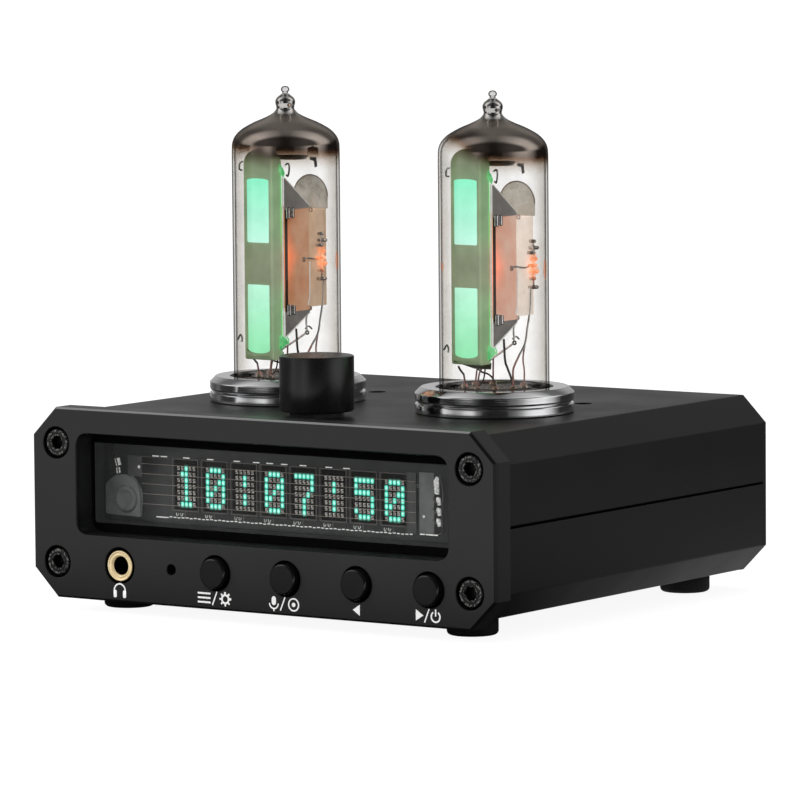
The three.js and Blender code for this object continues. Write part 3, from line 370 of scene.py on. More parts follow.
def smooth_path(points, count=40):
    """A curve through the points: between two of them a cubic, whose slope at each is half the
    step from the point before to the point after."""
    p = np.asarray(points, float)
    p = np.vstack([2 * p[:1] - p[1:2], p, 2 * p[-1:] - p[-2:-1]])
    t = np.linspace(0, len(points) - 1, count)
    i = np.minimum(t.astype(int), len(points) - 2)
    f = (t - i)[:, None]
    a, b, c, d = p[i], p[i + 1], p[i + 2], p[i + 3]
    return 0.5 * (2 * b + (c - a) * f + (2 * a - 5 * b + 4 * c - d) * f**2 + (3 * b - a - 3 * c + d) * f**3)


def wire(points, radius, sides=8, count=32):
    """Point (step, turn) is the path's point plus the radius times the cosine and sine of the
    turn along two directions across the path. Both ends close to a point."""
    path = smooth_path(points, count) if len(points) > 2 else np.array(points, float)
    way = unit(np.gradient(path, axis=0))
    side = unit(np.cross(way, np.eye(3)[np.abs(way.mean(0)).argmin()]))
    over = np.cross(side, way)
    cosines, sines = [turn[None, :, None] for turn in rounds(sides)]
    size = np.broadcast_to(np.asarray(radius, float), (len(path),))[:, None, None]
    ring = path[:, None] + size * (cosines * side[:, None] + sines * over[:, None])
    ends = [np.repeat(path[[k]][:, None], sides, 1) for k in (0, -1)]
    return np.concatenate([ends[0], ring, ends[1]]).reshape(-1, 3), quads(len(path) + 2, sides)


def circle(radius, u=0.0, v=0.0, sides=64):
    """The radius times the cosine and sine of even turns, round a middle."""
    return radius * np.column_stack(rounds(sides)) + (u, v)


def softened(corners, cut, steps=5):
    """Each corner becomes the curve from one point to another, a cut away along its two edges,
    that leans towards the corner: (1-s)^2 of the first, 2s(1-s) of it and s^2 of the second."""
    p = np.asarray(corners, float)
    cut = np.broadcast_to(np.asarray(cut, float), (len(p),))[:, None]
    a, b = [(p + cut * unit(np.roll(p, step, 0) - p))[:, None] for step in (1, -1)]
    s = np.linspace(0, 1, steps)[None, :, None]
    return ((1 - s) ** 2 * a + 2 * s * (1 - s) * p[:, None] + s**2 * b).reshape(-1, 2)


def oblong(u0, v0, u1, v1, cut=0.3, steps=5):
    """A rectangle with softened corners, from its lowest to its highest corner."""
    return softened([(u0, v0), (u1, v0), (u1, v1), (u0, v1)], cut, steps)


def octagon(width, height, chamfer, v):
    """A rectangle without its corners: each is cut off a chamfer away along both of its edges."""
    w, h, c = width / 2, height / 2, chamfer
    return np.array([(w - c, -h), (w, c - h), (w, h - c), (w - c, h), (c - w, h), (-w, h - c),
                     (-w, c - h), (c - w, -h)]) + (0, v)


def inset(loop, amount):
    """The outline moved in by an amount: each corner goes along the sum of the inward normals of
    its two edges, divided by one plus their product."""
    edge = unit(np.roll(loop, -1, 0) - loop)
    normal = np.column_stack([-edge[:, 1], edge[:, 0]])
    before = np.roll(normal, 1, 0)
    return loop + amount * (normal + before) / (1 + (normal * before).sum(1))[:, None]


def filled(rings, points):
    """Triangles that fill the first ring of corner numbers around the others, as holes."""
    order = np.concatenate(rings)
    outlines = [[Vector((*points[i, :2], 0)) for i in ring] for ring in rings]
    found = np.array(tessellate_polygon(outlines))
    return order[found[:, [0, 1, 2, 2]]]


def stamped(outline, levels, holes=(), at=0.0):
    """Point (level, corner) is the outline, set back by that level's amount, at its depth behind
    the place in Y. A hole has its own outline and levels, is set back outwards, and is blind
    where it says so."""
    points, faces, front, rear, start = [], [], [], [], 0
    for number, (loop, steps, *blind) in enumerate([(np.asarray(outline, float), levels), *holes]):
        grid = np.concatenate([np.column_stack([inset(loop, -cut if number else cut),
                                                np.full(len(loop), depth)]) for cut, depth in steps])
        faces.append(quads(len(steps), len(loop)) + start)
        front.append(np.arange(len(loop)) + start)
        last = front[-1] + (len(steps) - 1) * len(loop)
        points.append(grid)
        if blind:
            faces.append(filled([last], np.concatenate(points)))
        else:
            rear.append(last)
        start += len(grid)
    points = np.concatenate(points)
    faces += [filled(front, points), filled(rear, points)]
    return points[:, [0, 2, 1]] + (0, at, 0), np.concatenate(faces)


def brick(low, high, cut=0.06):
    """A block with softened edges: an oblong carried through six levels."""
    (x0, y0, z0), (x1, y1, z1) = low, high
    levels = [(cut, y0), (cut * 0.3, y0 + cut * 0.3), (0, y0 + cut), (0, y1 - cut),
              (cut * 0.3, y1 - cut * 0.3), (cut, y1)]
    return stamped(oblong(x0, z0, x1, z1, cut * 1.5, 3), levels)


def piece(name, parts, material, slot, node=None, body="case", crease=34.0):
    """One object from closed parts given in millimetres: neighbours at one place are joined, the
    faces turned outwards, and edges sharper than the crease kept sharp. It may replace a node."""
    parts = [parts] if isinstance(parts, tuple) else list(parts)
    starts = np.cumsum([0] + [len(p) for p, _ in parts])
    points = np.concatenate([p for p, _ in parts]) * MM
    faces = np.concatenate([f + s for (_, f), s in zip(parts, starts)])
    three = faces[:, 2] == faces[:, 3]
    mesh = bpy.data.meshes.new(name)
    mesh.from_pydata(points, [], faces[~three].tolist() + faces[three][:, :3].tolist())
    edit = bmesh.new()
    edit.from_mesh(mesh)
    bmesh.ops.remove_doubles(edit, verts=edit.verts, dist=1e-7)
    bmesh.ops.dissolve_degenerate(edit, edges=edit.edges, dist=1e-8)
    bmesh.ops.recalc_face_normals(edit, faces=edit.faces)
    edit.to_mesh(mesh)
    edit.free()
    mesh.polygons.foreach_set("use_smooth", np.ones(len(mesh.polygons), bool))
    mesh.set_sharp_from_angle(angle=np.radians(crease))
    made = placed(name, mesh)
    mesh.materials.append(material)
    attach(made, body)
    if node:
        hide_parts(node)
    print(f"{name}: {len(mesh.polygons)} faces")
    return made


def dress(names, material):
    """A CAD node keeps its shape and gets a finish."""
    for name in names:
        slots = nodes[name].data.materials
        slots.clear()
        slots.append(material)
    print(material.name, "on", *names)


def box(name):
    """Lowest and highest corner of a CAD node, in millimetres."""
    low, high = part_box(name)
    return np.array(low) / MM, np.array(high) / MM


def middle(name):
    """The middle of a CAD node's box."""
    return sum(box(name)) / 2


panel_low, panel_high = box("front_panel")
face_y, panel_back = panel_low[1], panel_high[1]
middle_z = middle("front_panel")[2]
row_z = middle("button_1")[2]
button_x = [middle(f"button_{i}")[0] for i in (1, 2, 3, 4)]
jack_x, jack_z = middle("headphone_bushing")[[0, 2]]
screw_places = [middle(f"front_screw_{i}")[[0, 2]] for i in (1, 2, 3, 4)]
tubes = {side: middle(f"tube_ring_{side}")[:2] for side in ("left", "right")}
print("face", face_y, "middle", middle_z, "tubes", tubes)

# %% [markdown]
# ## Black anodised aluminium
# The case is bead-blasted and dyed black. Such a surface is nearly black, with a soft even sheen
# and a grain that is finer than a hair. A flat dark colour would look like plastic, so slow
# noise drifts the dye a little and fine noise dents the surface and its roughness.
# %% Case finishes
anodised_rough, anodised_grain, anodised_depth = (0.36, 0.5), 7.0, 0.00002
black_aluminium = finish("black_aluminium", paint(19, 19, 20), paint(28, 28, 29), anodised_rough, patch=0.06,
                         grain=anodised_grain, relief=0.35, depth=anodised_depth, gloss=0.36)
black_knob = finish("black_knob", paint(15, 15, 16), paint(24, 24, 25), (0.25, 0.33), patch=0.2,
                    grain=4.5, relief=0.5, depth=0.00001, gloss=0.6)
black_steel = finish("black_steel", paint(26, 26, 27), paint(52, 51, 50), (0.25, 0.45), metal=0.35,
                     patch=0.8, grain=6.0, relief=0.3)
black_rubber = finish("black_rubber", paint(12, 12, 12), paint(22, 22, 22), (0.7, 0.9), patch=0.5,
                      grain=4.0, relief=0.5, depth=0.00005)
black_foam = finish("black_foam", paint(4, 4, 4), paint(10, 10, 10), (0.9, 1.0), patch=1.0,
                    grain=3.0, relief=0.8, depth=0.0001, gloss=0.1)
black_plastic = finish("black_plastic", paint(15, 15, 16), paint(26, 26, 27), (0.4, 0.6), patch=0.6, relief=0.3)


def layered(name, dark, pale, zones, patch=0.06, relief=0.35, **more):
    """The anodised finish, changed with depth behind the face. Each zone has where it begins and
    ends, the height above which it holds, its colour, its roughness and how bare its metal is."""
    blank(name)
    where, fine, colour, rough = grained(dark, pale, anodised_rough, patch, anodised_grain)
    _, y, z = axes(where)
    metal = 0.0
    for start, end, bottom, tone, smoothness, bare in zones:
        inside = (y > start) * (y < end) * (z > bottom)
        colour = mixed(inside, colour, tone)
        rough, metal = blended(inside, rough, smoothness), blended(inside, metal, bare)
    return surface(principled(colour, rough, metal, fine, relief, anodised_depth, **more))


# the milled edge is dark, and a painted highlight runs along the top: bare bright metal on the top edge only
everywhere, panel_top = -9, panel_high[2]
front_black = layered("front_black", paint(21, 21, 22), paint(30, 30, 31),
                      [(face_y + 0.003, face_y + 1.1, everywhere, paint(7, 7, 7), 0.4, 0.0),
                       (face_y + 0.1, face_y + 0.47, panel_top - 0.5, paint(150, 150, 150), 0.22, 1.0)],
                      gloss=0.62)


def socket_heads(name, places, face):
    """Blackened screw heads. Seen from the front, pale specks lie in two rings, on the knurling and
    round the well: they are painted glints. The faces more than 0.4 mm behind the front are darker,
    as painted shade. The distance is counted from the nearest of four mirrored centres."""
    blank(name)
    where = millimetres()
    x, y, z = axes(where)
    centre = places.mean(axis=0)
    half = np.abs(places - centre).mean(axis=0)
    out = distance(abs(x - centre[0]) - half[0], abs(z - centre[1]) - half[1])
    # painted glints: pale specks on a ring on the knurl and a ring round the well
    knurl_glint_ring = span(out, 1.95, 2.15) * span(out, 2.4, 2.6, 1, 0)
    well_glint_ring = span(out, 1.2, 1.35) * span(out, 1.5, 1.62, 1, 0)
    fine, front = noise(where, 3.4), y < face + 0.4
    pale = (knurl_glint_ring + well_glint_ring) * span(fine, 0.5, 0.62) * front
    # painted shade: the faces behind the front are darker than the front face
    colour = mixed(pale, mixed(front, paint(6, 6, 6), paint(22, 22, 22)), paint(150, 149, 147))
    return surface(principled(colour, span(fine, 0.3, 0.7, 0.3, 0.5), 0.3, fine, 0.8, 0.0001))


# %% [markdown]
# ## Front panel
# A thick plate with cut corners, a window, screw recesses and a row of holes. The outline and
# each hole are carried through levels: the first ones make the small milled bevel that catches
# light, the last ones the straight wall. The CAD panel has the same shape with coarse rounds.
# %% Front panel piece
thick = panel_back - face_y
button_hole, plug_hole, microphone_hole, screw_recess, recess_depth, screw_step = 3.4, 3.525, 1.0, 3.1, 3.2, 1.35
microphone_x = middle("microphone")[0]
bevel = [(0.16, 0), (0.05, 0.06), (0, 0.16)]
lip = bevel + [(0, thick)]
recess = bevel + [(0, recess_depth), (-screw_step, recess_depth), (-screw_step, thick)]
holes = [(oblong(-43.4, 15.2, 43.4, 34.7, 2.9, 9), [(0.2, 0), (0.12, 0.05), (0, 0.25), (0, thick)])]
holes += [(circle(button_hole, x, row_z), lip) for x in button_x]
holes += [(circle(plug_hole, jack_x, jack_z), lip), (circle(microphone_hole, microphone_x, row_z, 32), lip)]
holes += [(circle(screw_recess, u, v), recess) for u, v in screw_places]
panel_outline = octagon(panel_high[0] * 2, panel_high[2] - panel_low[2], 5.6, middle_z)
panel = stamped(panel_outline, [(0.45, 0), (0, 0.45), (0, thick)], holes, face_y)
piece("front_panel_milled", panel, front_black, "black_aluminium", "front_panel", crease=12)

# %% [markdown]
# ## Body
# The body is an extrusion in two halves that meet half way up: each is the outline of its wall,
# carried from front to back. Only the top has holes, so the upper half leaves out the two flat
# faces of its top and fills them again round the holes. A bevel along the upper half's lower
# edge shows as the thin light line over the dark seam.
# %% Body pieces
rear_low, rear_high = box("rear_panel")
half, wall, chamfer, top, under, edge_round = box("upper_shell")[1][0], 2.0, 5.2, rear_high[2], rear_low[2], 0.35
fold = chamfer - wall * (2 - 2**0.5)


def wall_outline(side, seam, bevel):
    """The closed outline of one half's wall: along the outside over the middle, and back along
    the inside. side is 1 for the upper half and -1 for the lower one."""
    far = top if side > 0 else under
    outer = [(half, seam + side * bevel), (half, far - side * chamfer), (half - chamfer, far)]
    within = [(half - bevel, seam), (half - wall, seam), (half - wall, far - side * (wall + fold)),
              (half - wall - fold, far - side * wall)]
    outer, within = np.array(outer), np.array(within)
    loop = np.concatenate([outer, outer[::-1] * (-1, 1), within * (-1, 1), within[::-1]])
    loop = softened(loop, [0] + [edge_round] * 4 + [0] * 9, 4)
    return loop[np.linalg.norm(loop - np.roll(loop, -1, 0), axis=1) > 1e-6]


def pierced_top(part, y0, y1, holes):
    """The part without its flat top and ceiling, which are filled again round the holes; each
    hole's wall joins the two."""
    points, faces = part
    z = points[:, 2][faces]
    flat = (np.abs(z - top) < 1e-6).all(1) | (np.abs(z - top + wall) < 1e-6).all(1)
    points, faces, start = [points], [faces[~flat]], len(points)
    for level, x in ((top, half - chamfer - edge_round), (top - wall, half - wall - fold)):
        outlines = [np.array([(-x, y0), (x, y0), (x, y1), (-x, y1)]), *holes]
        marks = np.cumsum([0] + [len(o) for o in outlines])
        patch = np.concatenate(outlines)
        points.append(np.column_stack([patch, np.full(len(patch), level)]))
        faces.append(filled([np.arange(a, b) for a, b in zip(marks, marks[1:])], patch) + start)
        start += len(patch)
    for hole in holes:
        points += [np.column_stack([hole, np.full(len(hole), level)]) for level in (top, top - wall)]
        faces.append(quads(2, len(hole)) + start)
        start += 2 * len(hole)
    return np.concatenate(points), np.concatenate(faces)


def from_behind(part, y):
    """The part mirrored front to back, so that its face looks to the rear from y."""
    return part[0] * (1, -1, 1) + (0, y, 0), part[1]


back, knob_y, sheet = rear_low[1], middle("knob")[1], rear_high[1] - rear_low[1]
nut_hole, tube_hole, trimmer_hole = 3.8, 11.0, 1.8
top_holes = [circle(nut_hole, 0, knob_y)] + [circle(tube_hole, *tubes[s]) for s in tubes]
top_holes += [circle(trimmer_hole, *middle(f"trimmer_rotor_{s}")[:2], 32) for s in tubes]
upper = stamped(wall_outline(1, middle_z + 0.35, 0.3), [(0, panel_back), (0, back)])
lower = stamped(wall_outline(-1, middle_z, 0.1), [(0, panel_back), (0, back)])
lip = [(0.12, 0), (0.04, 0.04), (0, 0.12), (0, sheet)]
inlet_x, inlet_z = middle("power_inlet")[[0, 2]]
inlet = oblong(inlet_x - 4.75, inlet_z - 1.95, inlet_x + 4.75, inlet_z + 1.95, 1.8, 8)
rear_holes = [(inlet, lip), (circle(plug_hole, middle("line_socket")[0], jack_z), lip)]
rear_holes += [(circle(3.05, u, v, 48), [(0, 0), (-1.3, 1.3), (-1.3, sheet)]) for u, v in screw_places]
rear = stamped(octagon(2 * half, top - under, chamfer, middle_z),
               [(0.25, 0), (0.08, 0.08), (0, 0.25), (0, sheet)], rear_holes)
for name, part, node in (("upper_body", pierced_top(upper, panel_back, back, top_holes), "upper_shell"),
                         ("lower_body", lower, "lower_shell"),
                         ("rear_plate", from_behind(rear, rear_high[1]), "rear_panel")):
    piece(name, part, black_aluminium, "black_aluminium", node, crease=12)

# %% [markdown]
# ## Screws and feet
# The front screws are socket heads sunk in recesses: a turned head with a hexagonal well. The
# rear ones are flat heads. The feet are moulded rubber, round at the bottom edge.
# %% Screws and feet pieces
head_y = box("front_screw_1")[0][1]
screw_black = socket_heads("screw_black", np.array(screw_places), head_y)
socket_head = [(0.42, 0), (0.3, 0.06), (0.1, 0.35), (0, 0.8), (0, 3.0), (1.3, 3.0), (1.3, 9.0)]
flat_head = [(0.12, 0), (0, 0.08), (1.3, 1.3), (1.3, 7.3)]
head_radius, key_radius = 2.75, 1.44
for i, (u, v) in enumerate(screw_places, 1):
    disc, hexagon = circle(head_radius, u, v), circle(key_radius, u, v, 6)
    head = stamped(disc, socket_head, [(hexagon, [(0.14, 0), (0.06, 0.08), (0, 0.2), (0, 1.9)], "blind")], head_y)
    piece(f"front_screw_{i}_head", head, screw_black, "black_steel", f"front_screw_{i}", crease=15)
    head = stamped(disc, flat_head, [(hexagon, [(0.08, 0), (0, 0.1), (0, 0.8)], "blind")])
    piece(f"rear_screw_{i}_head", from_behind(head, box(f"rear_screw_{i}")[1][1]), black_steel, "black_steel",
          f"rear_screw_{i}")
    low, high = box(f"foot_{i}")
    tall, radius, bend = high[2], (high[0] - low[0]) / 2, 0.8
    angle = np.linspace(-np.pi / 2, 0, 7)
    rounding = np.column_stack([radius - bend + bend * np.cos(angle), bend + bend * np.sin(angle)])
    outline = [(0, 0.25), (3.0, 0.25), (3.3, 0), *rounding, (radius, tall - 0.3), (radius - 0.15, tall), (0, tall)]
    piece(f"foot_{i}_rubber", turned(outline, (*middle(f"foot_{i}")[:2], 0)), black_rubber, "black_rubber",
          f"foot_{i}")

# %% [markdown]
# ## Buttons and headphone socket
# Each button is a turned cap that stands a little proud, with a fine rounded rim. The bushing of
# the headphone socket is gilt brass: a thin lip flush with the panel, and behind it a black
# sleeve and a black liner in the bore.
# %% Front controls
# the gilt has a faint painted glow
gilt = finish("gilt", (0.98, 0.78, 0.46), (1.0, 0.86, 0.58), (0.22, 0.3), metal=0.35, patch=0.3,
              grain=4.0, relief=0.03, depth=0.00001, glow=(0.17, 0.125, 0.06))
cap_y = box("button_1")[0][1]
black_cap = layered("black_cap", paint(9, 9, 10), paint(15, 15, 16),
                    [(cap_y + 0.02, cap_y + 0.42, everywhere, paint(78, 78, 79), 0.22, 1.0)],
                    patch=0.2, relief=0.15, gloss=0.35)
for i, x in enumerate(button_x, 1):
    low, high = box(f"button_{i}")
    stem, flange = high[1] - low[1], panel_back - low[1] + 0.3
    cap = [(0, 0.0), (2.3, 0.0), (2.62, 0.0), (2.84, 0.16), (2.93, 0.3), (2.95, 0.45), (2.95, flange),
           (3.9, flange), (3.9, flange + 0.8), (1.6, flange + 0.8), (1.6, stem), (0, stem)]
    piece(f"button_{i}_cap", turned(cap, (x, low[1], row_z), "y"), black_cap, "black_knob",
          f"button_{i}", f"button_{i}", crease=20)
bore, bush_end = 2.3, box("headphone_bushing")[1][1] - face_y
bush = [(bore, 0.6), (bore, 0.3), (2.85, 0.3), (2.92, 0.22), (2.92, 0.1), (2.86, 0.02), (2.78, 0.0), (2.66, 0.04),
        (2.56, 0.16), (2.4, 0.2), (2.24, 0.12), (2.12, 0.1), (1.98, 0.2), (1.86, 0.4), (1.8, 0.6), (bore, 0.6)]
liner = [(1.8, 0.62), (1.8, bush_end), (bore, bush_end), (bore, 0.62), (1.8, 0.62)]
sleeve = [(2.35, 0.35), (2.35, bush_end), (3.0, bush_end), (3.0, 1.2), (2.8, 1.0), (2.8, 0.35), (2.35, 0.35)]
for name, profile, *look in (("headphone_bushing_gilt", bush, gilt, "gilt", "headphone_bushing"),
                             ("headphone_bore_liner", liner, black_foam, "black_plastic"),
                             ("headphone_bushing_sleeve", sleeve, black_foam, "black_plastic")):
    piece(name, turned(profile, (jack_x, face_y, jack_z), "y"), *look)

# %% [markdown]
# ## Volume knob
# A solid turned knob with a fine chamfer round its top and a recess below that hides the nut.
# %% Knob piece
low, high = box("knob")
radius, tall, hollow, bore = (high[0] - low[0]) / 2, high[2] - low[2], 3.0, 3.3
knob = [(0, tall), (radius - 0.8, tall), (radius - 0.3, tall - 0.02), (radius - 0.06, tall - 0.14),
        (radius, tall - 0.34), (radius, 0.45), (radius - 0.12, 0.14), (radius - 0.4, 0), (radius - 1.3, 0),
        (radius - 1.3, hollow), (bore, hollow), (bore, tall - 2), (0, tall - 2)]
piece("volume_knob", turned(knob, (0, knob_y, low[2]), sides=128), black_knob, "black_knob", "knob", "knob", 28)

# %% [markdown]
# ## Turned steel rings
# Two bright steel rings hold the tubes. A lathe leaves fine grooves round them, which spread
# each reflection along the radius. The grooves are noise that depends only on the distance from
# the axis and on the height, so it runs in circles.
# %% Ring pieces
def turned_steel(name, centre):
    """Bright steel whose grooves are noise of the distance from the axis and of the height."""
    blank(name)
    where = millimetres((*centre, 0))
    x, y, z = axes(where)
    groove = noise(add("CombineXYZ", {0: distance(x, y), 1: z}), 6.0, 3.0)
    wear = noise(where, 0.35, 4.0)
    colour = mixed(span(groove, 0.3, 0.7), (0.68, 0.68, 0.69), (0.90, 0.90, 0.91))
    return surface(principled(colour, span(groove + wear, 0.6, 1.4, 0.05, 0.13), 1.0, groove, 0.32, 0.00002))


for side, (x, y) in tubes.items():
    low, high = box(f"tube_ring_{side}")
    r, h, inner = (high[0] - low[0]) / 2, high[2] - low[2], 11.325
    ring = [(inner, 0), (r - 0.25, 0), (r, 0.25), (r, 1.62), (r - 0.07, 1.83), (r - 0.25, 1.95), (r - 0.55, 1.95),
            (r - 0.55, 2.25), (r - 0.2, 2.4), (r, 2.7), (r, h - 1.2), (r - 0.05, h - 1.08), (r - 1.08, h - 0.06),
            (r - 1.2, h), (11.6, h), (11.4, h - 0.08), (inner, h - 0.3), (inner, 0)]
    piece(f"tube_ring_{side}_steel", turned(ring, (x, y, low[2]), sides=192),
          turned_steel(f"turned_steel_{side}", (x, y)), "turned_steel", f"tube_ring_{side}", crease=20)

# %% [markdown]
# ## Glass
# A thin blown wall hardly bends what is behind it, so each wall is made of clear see-through and
# a reflection that grows towards the edges: its share is a small part where the wall faces the
# eye, plus the fourth power of how far it turns away. The clear part is a little warm, and darker
# near the edge, where the light goes a long way through the wall.
# %% Glass finish
def thin_glass(name, clear, edge, rim, shine, shine_most, rough, edge_from):
    """Clear where it faces the eye, then the edge's colour, and at last the rim's."""
    blank(name)
    facing = add("LayerWeight", {"Blend": 0.5}, out=1)
    tint = mixed(ease(facing, 0.15, edge_from), clear, edge)
    tint = mixed(ease(facing, edge_from, 0.97), tint, rim)
    tint = mixed(span(noise(millimetres(), 0.25, 3.0), 0.4, 0.75, 0, 0.05), tint, rim)
    through = add("BsdfTransparent", {"Color": tint})
    mirror = add("BsdfGlossy", {"Color": (1, 1, 1), "Roughness": rough})
    return surface(blended(span(facing**4.0, 0, 1, shine, shine_most), through, mirror))


tube_glass = thin_glass("tube_glass", (0.99, 0.988, 0.985), (0.89, 0.88, 0.865), (0.07, 0.065, 0.06),
                        0.03, 0.14, 0.02, 0.66)
tip_glass = thin_glass("tip_glass", (0.9, 0.9, 0.9), (0.3, 0.29, 0.28), (0.03, 0.03, 0.03), 0.15, 0.5, 0.03, 0.36)
display_glass = thin_glass("display_glass", (0.97, 0.975, 0.97), (0.95, 0.96, 0.955), (0.6, 0.63, 0.62),
                           0.007, 0.5, 0.01, 0.95)

# %% [markdown]
# ## Display
# A vacuum display is a shallow glass box. Inside, one stamped sheet of metal carries a frame for
# each character, springs that pull thin heater wires tight, and a cup with getter metal. The
# characters themselves are dots of phosphor on the rear glass. The box is one outline carried
# back, in again and forwards, so that it has real walls.
# %% Display glass and metal
# the dark glass has a faint painted glow, which lightens the display's backdrop where the window shades it
dark_glass = finish("dark_glass", paint(60, 60, 61), paint(74, 74, 75), (0.3, 0.4), patch=0.2,
                    grain=1.5, relief=0.05, gloss=0.2, glow=(0.013, 0.013, 0.0133))
display_steel = finish("display_steel", (0.07, 0.07, 0.07), (0.12, 0.12, 0.12), (0.3, 0.5), 0.25, 0.4, 3.0)
# the small bright parts and the dashes have a painted glow, which shows as bright highlights
glowing_steel = finish("glowing_steel", paint(22, 22, 22), paint(252, 252, 250), (0.2, 0.35), 0.2, 1.6, 3.0,
                      relief=0.5, glow=(0.26, 0.26, 0.255))
glowing_dash_steel = finish("glowing_dash_steel", paint(150, 150, 148), paint(252, 252, 250), (0.3, 0.45), 0.1, 1.2, 3.0,
                    glow=(0.42, 0.42, 0.41))
dull_steel = finish("dull_steel", paint(100, 98, 96), paint(150, 147, 143), (0.25, 0.4), 0.6, 1.0, 4.0, relief=0.4)
frame_steel = finish("frame_steel", paint(82, 79, 77), paint(120, 116, 113), (0.4, 0.5), 0.0, 0.6, 3.0)
heater_metal = finish("heater_wire", paint(150, 136, 128), paint(190, 178, 170), (0.4, 0.5), 0.0, 0.4, 3.0)
cup_metal = finish("getter_cup", paint(106, 106, 107), paint(140, 140, 141), (0.34, 0.44), 0.1, 0.25, 3.0)
anchor_steel = finish("anchor_steel", paint(104, 104, 105), paint(140, 140, 141), (0.35, 0.5), 0.2, 0.3, 3.0)
# the grey band round the glass's sides has a painted glow
side_glow_paint = finish("side_paint", paint(46, 46, 47), paint(62, 62, 63), (0.5, 0.6), patch=0.3, grain=3.0,
                    gloss=0.2, glow=(0.0135, 0.0135, 0.0138))
low, high = box("display_cover_glass")
glass_y, deep, glass_wall, rounding = low[1], high[1] - low[1], 1.1, 0.35
shell = oblong(low[0], low[2], high[0], high[2], 2.4, 7)
levels = [(0.3, 0), (0.09, 0.09), (0, 0.3), (0, deep), (glass_wall, deep), (glass_wall, glass_wall + rounding),
          (glass_wall + 0.09, glass_wall + 0.09), (glass_wall + rounding, glass_wall)]
piece("display_cover_clear", stamped(shell, levels, at=glass_y), display_glass, "display_glass",
      "display_cover_glass")
low, high = box("display_gasket")
opening = (oblong(-43, 16.95, 43, 32.55, 0.3), [(0.15, 0), (0, 0.15), (0, 0.4), (1.15, 0.6), (1.15, 2.0)])
gasket = stamped(oblong(low[0], low[2], high[0], high[2], 0.4), [(0.1, 0), (0, 0.1), (0, 2.0)], [opening], low[1])
piece("display_gasket_foam", gasket, black_foam, "black_foam", "display_gasket")
# a grey band round the sides of the glass hides the case's dark inside; its painted glow lightens the window's inner
# corners, where shade would fall
levels = [(0, 0.1), (0, deep - 0.1)]
side_paint = stamped(inset(shell, -0.25), levels, [(inset(shell, -0.03), levels)], glass_y)
piece("display_side_paint", side_paint, side_glow_paint, "dark_glass")

metal_y, sheet = glass_y + 1.65, 0.12
cell_left = -26.72 + 6.97 * np.arange(8)
cell_low, cell_high, cell_wide = 19.8, 29.95, 6.3


def plate(outline, thickness=sheet, y=metal_y):
    """A thin sheet part of the display, with its outline seen from the front."""
    return stamped(outline, [(0, 0), (0, thickness)], at=y)


def bar(x0, z0, x1, z1, thickness=sheet):
    """A straight strip of sheet metal."""
    return plate([(x0, z0), (x1, z0), (x1, z1), (x0, z1)], thickness)


def cell(x, edge, cut):
    """The outline of the character that begins at x, set in by an edge."""
    return oblong(x + edge, cell_low + edge, x + cell_wide - edge, cell_high - edge, cut, 3)


def display_wire(*points, radius=0.16, count=16):
    """A wire through points given as X, the depth behind the sheet metal, and Z."""
    return wire(np.array(points) + (0, metal_y, 0), radius, 6, count)


levels = [(0, 0), (0, sheet)]
frames = []
for x in cell_left:
    frames.append(stamped(cell(x, 0, 0.15), levels, [(cell(x, 0.17, 0.1), levels)], metal_y))
    frames.append(bar(x + 3.0, 18.5, x + 3.15, cell_low + 0.1))
frames.append(bar(-34.4, 29.9, -27.6, 30.0))
piece("display_frames", frames, frame_steel, "nickel", "display_lead_frame")
sheets = [bar(28.1, 18.8, 30.4, 30.2), bar(-37.4, 26.0, -33.95, 30.0)]
piece("display_sheets", sheets, display_steel, "nickel")
heaters = [wire([(-34.0, metal_y - 0.15, z), (30.4, metal_y - 0.15, z)], 0.05, 5, 2)
           for z in (28.6, 26.65, 24.7, 22.75, 20.8)]
piece("display_heater_wires", heaters, heater_metal, "nickel")

cup = softened([(-42.85, 18.3), (-34.2, 18.1), (-33.7, 23.5), (-36.0, 26.2), (-40.2, 26.2),
                (-42.85, 24.3)], [0.5, 0.7, 2.2, 1.5, 1.4, 0.9], 7)
dish = [(0, -0.06), (0.9, -0.08), (1.4, -0.16), (1.75, -0.36), (2.1, -0.44), (2.45, -0.34), (2.7, -0.08),
        (2.85, 0.1), (0, 0.1)]
bail = display_wire((-36.8, -0.1, 25.9), (-35.1, -0.15, 24.7), (-34.35, -0.15, 22.4), (-34.45, -0.1, 18.6),
                    radius=0.14, count=24)
piece("display_getter_cup", [plate(cup), turned(dish, (-37.9, metal_y, 21.5), "y", 64), bail], cup_metal, "nickel")
anchor = [bar(31.1, 18.9, 34.45, 30.4, 0.2), bar(30.5, 27.9, 31.5, 28.05), bar(30.55, 27.5, 31.4, 27.65)]
piece("display_anchor_plate", anchor, anchor_steel, "nickel")

bright = [plate(np.array([(-0.35, -0.85), (0.75, -0.6), (0.5, 0.1), (0.35, 0.75), (-0.75, 0.55)])
                + (-39.85, 28.65), 0.2),
          plate(np.array([(-0.35, -0.6), (0.45, -0.45), (0.3, 0.6), (-0.45, 0.5)]) + (-39.75, 26.95), 0.2),
          plate(circle(0.3, -34.65, 27.9, 16), 0.15, metal_y - 0.05),
          plate(circle(0.3, 32.1, 22.1, 16), 0.15, metal_y - 0.05),
          plate([(34.6, 26.5), (35.5, 26.4), (35.45, 29.6), (35.0, 29.8), (34.35, 28.9)], 0.25)]
clip = np.array([(-0.45, 0.3), (-0.3, 0.62), (0.3, 0.5), (0.4, -0.5), (-0.1, -0.6)]) * (1.15, 1.3)
bright += [plate(clip + place, 0.3) for place in ((35.4, 25.1), (35.45, 23.1), (35.4, 21.1))]
hooked = np.array([(0, 0, 19.45), (0.05, -0.05, 19.0), (0.35, -0.1, 18.9), (0.55, 0, 19.4)])
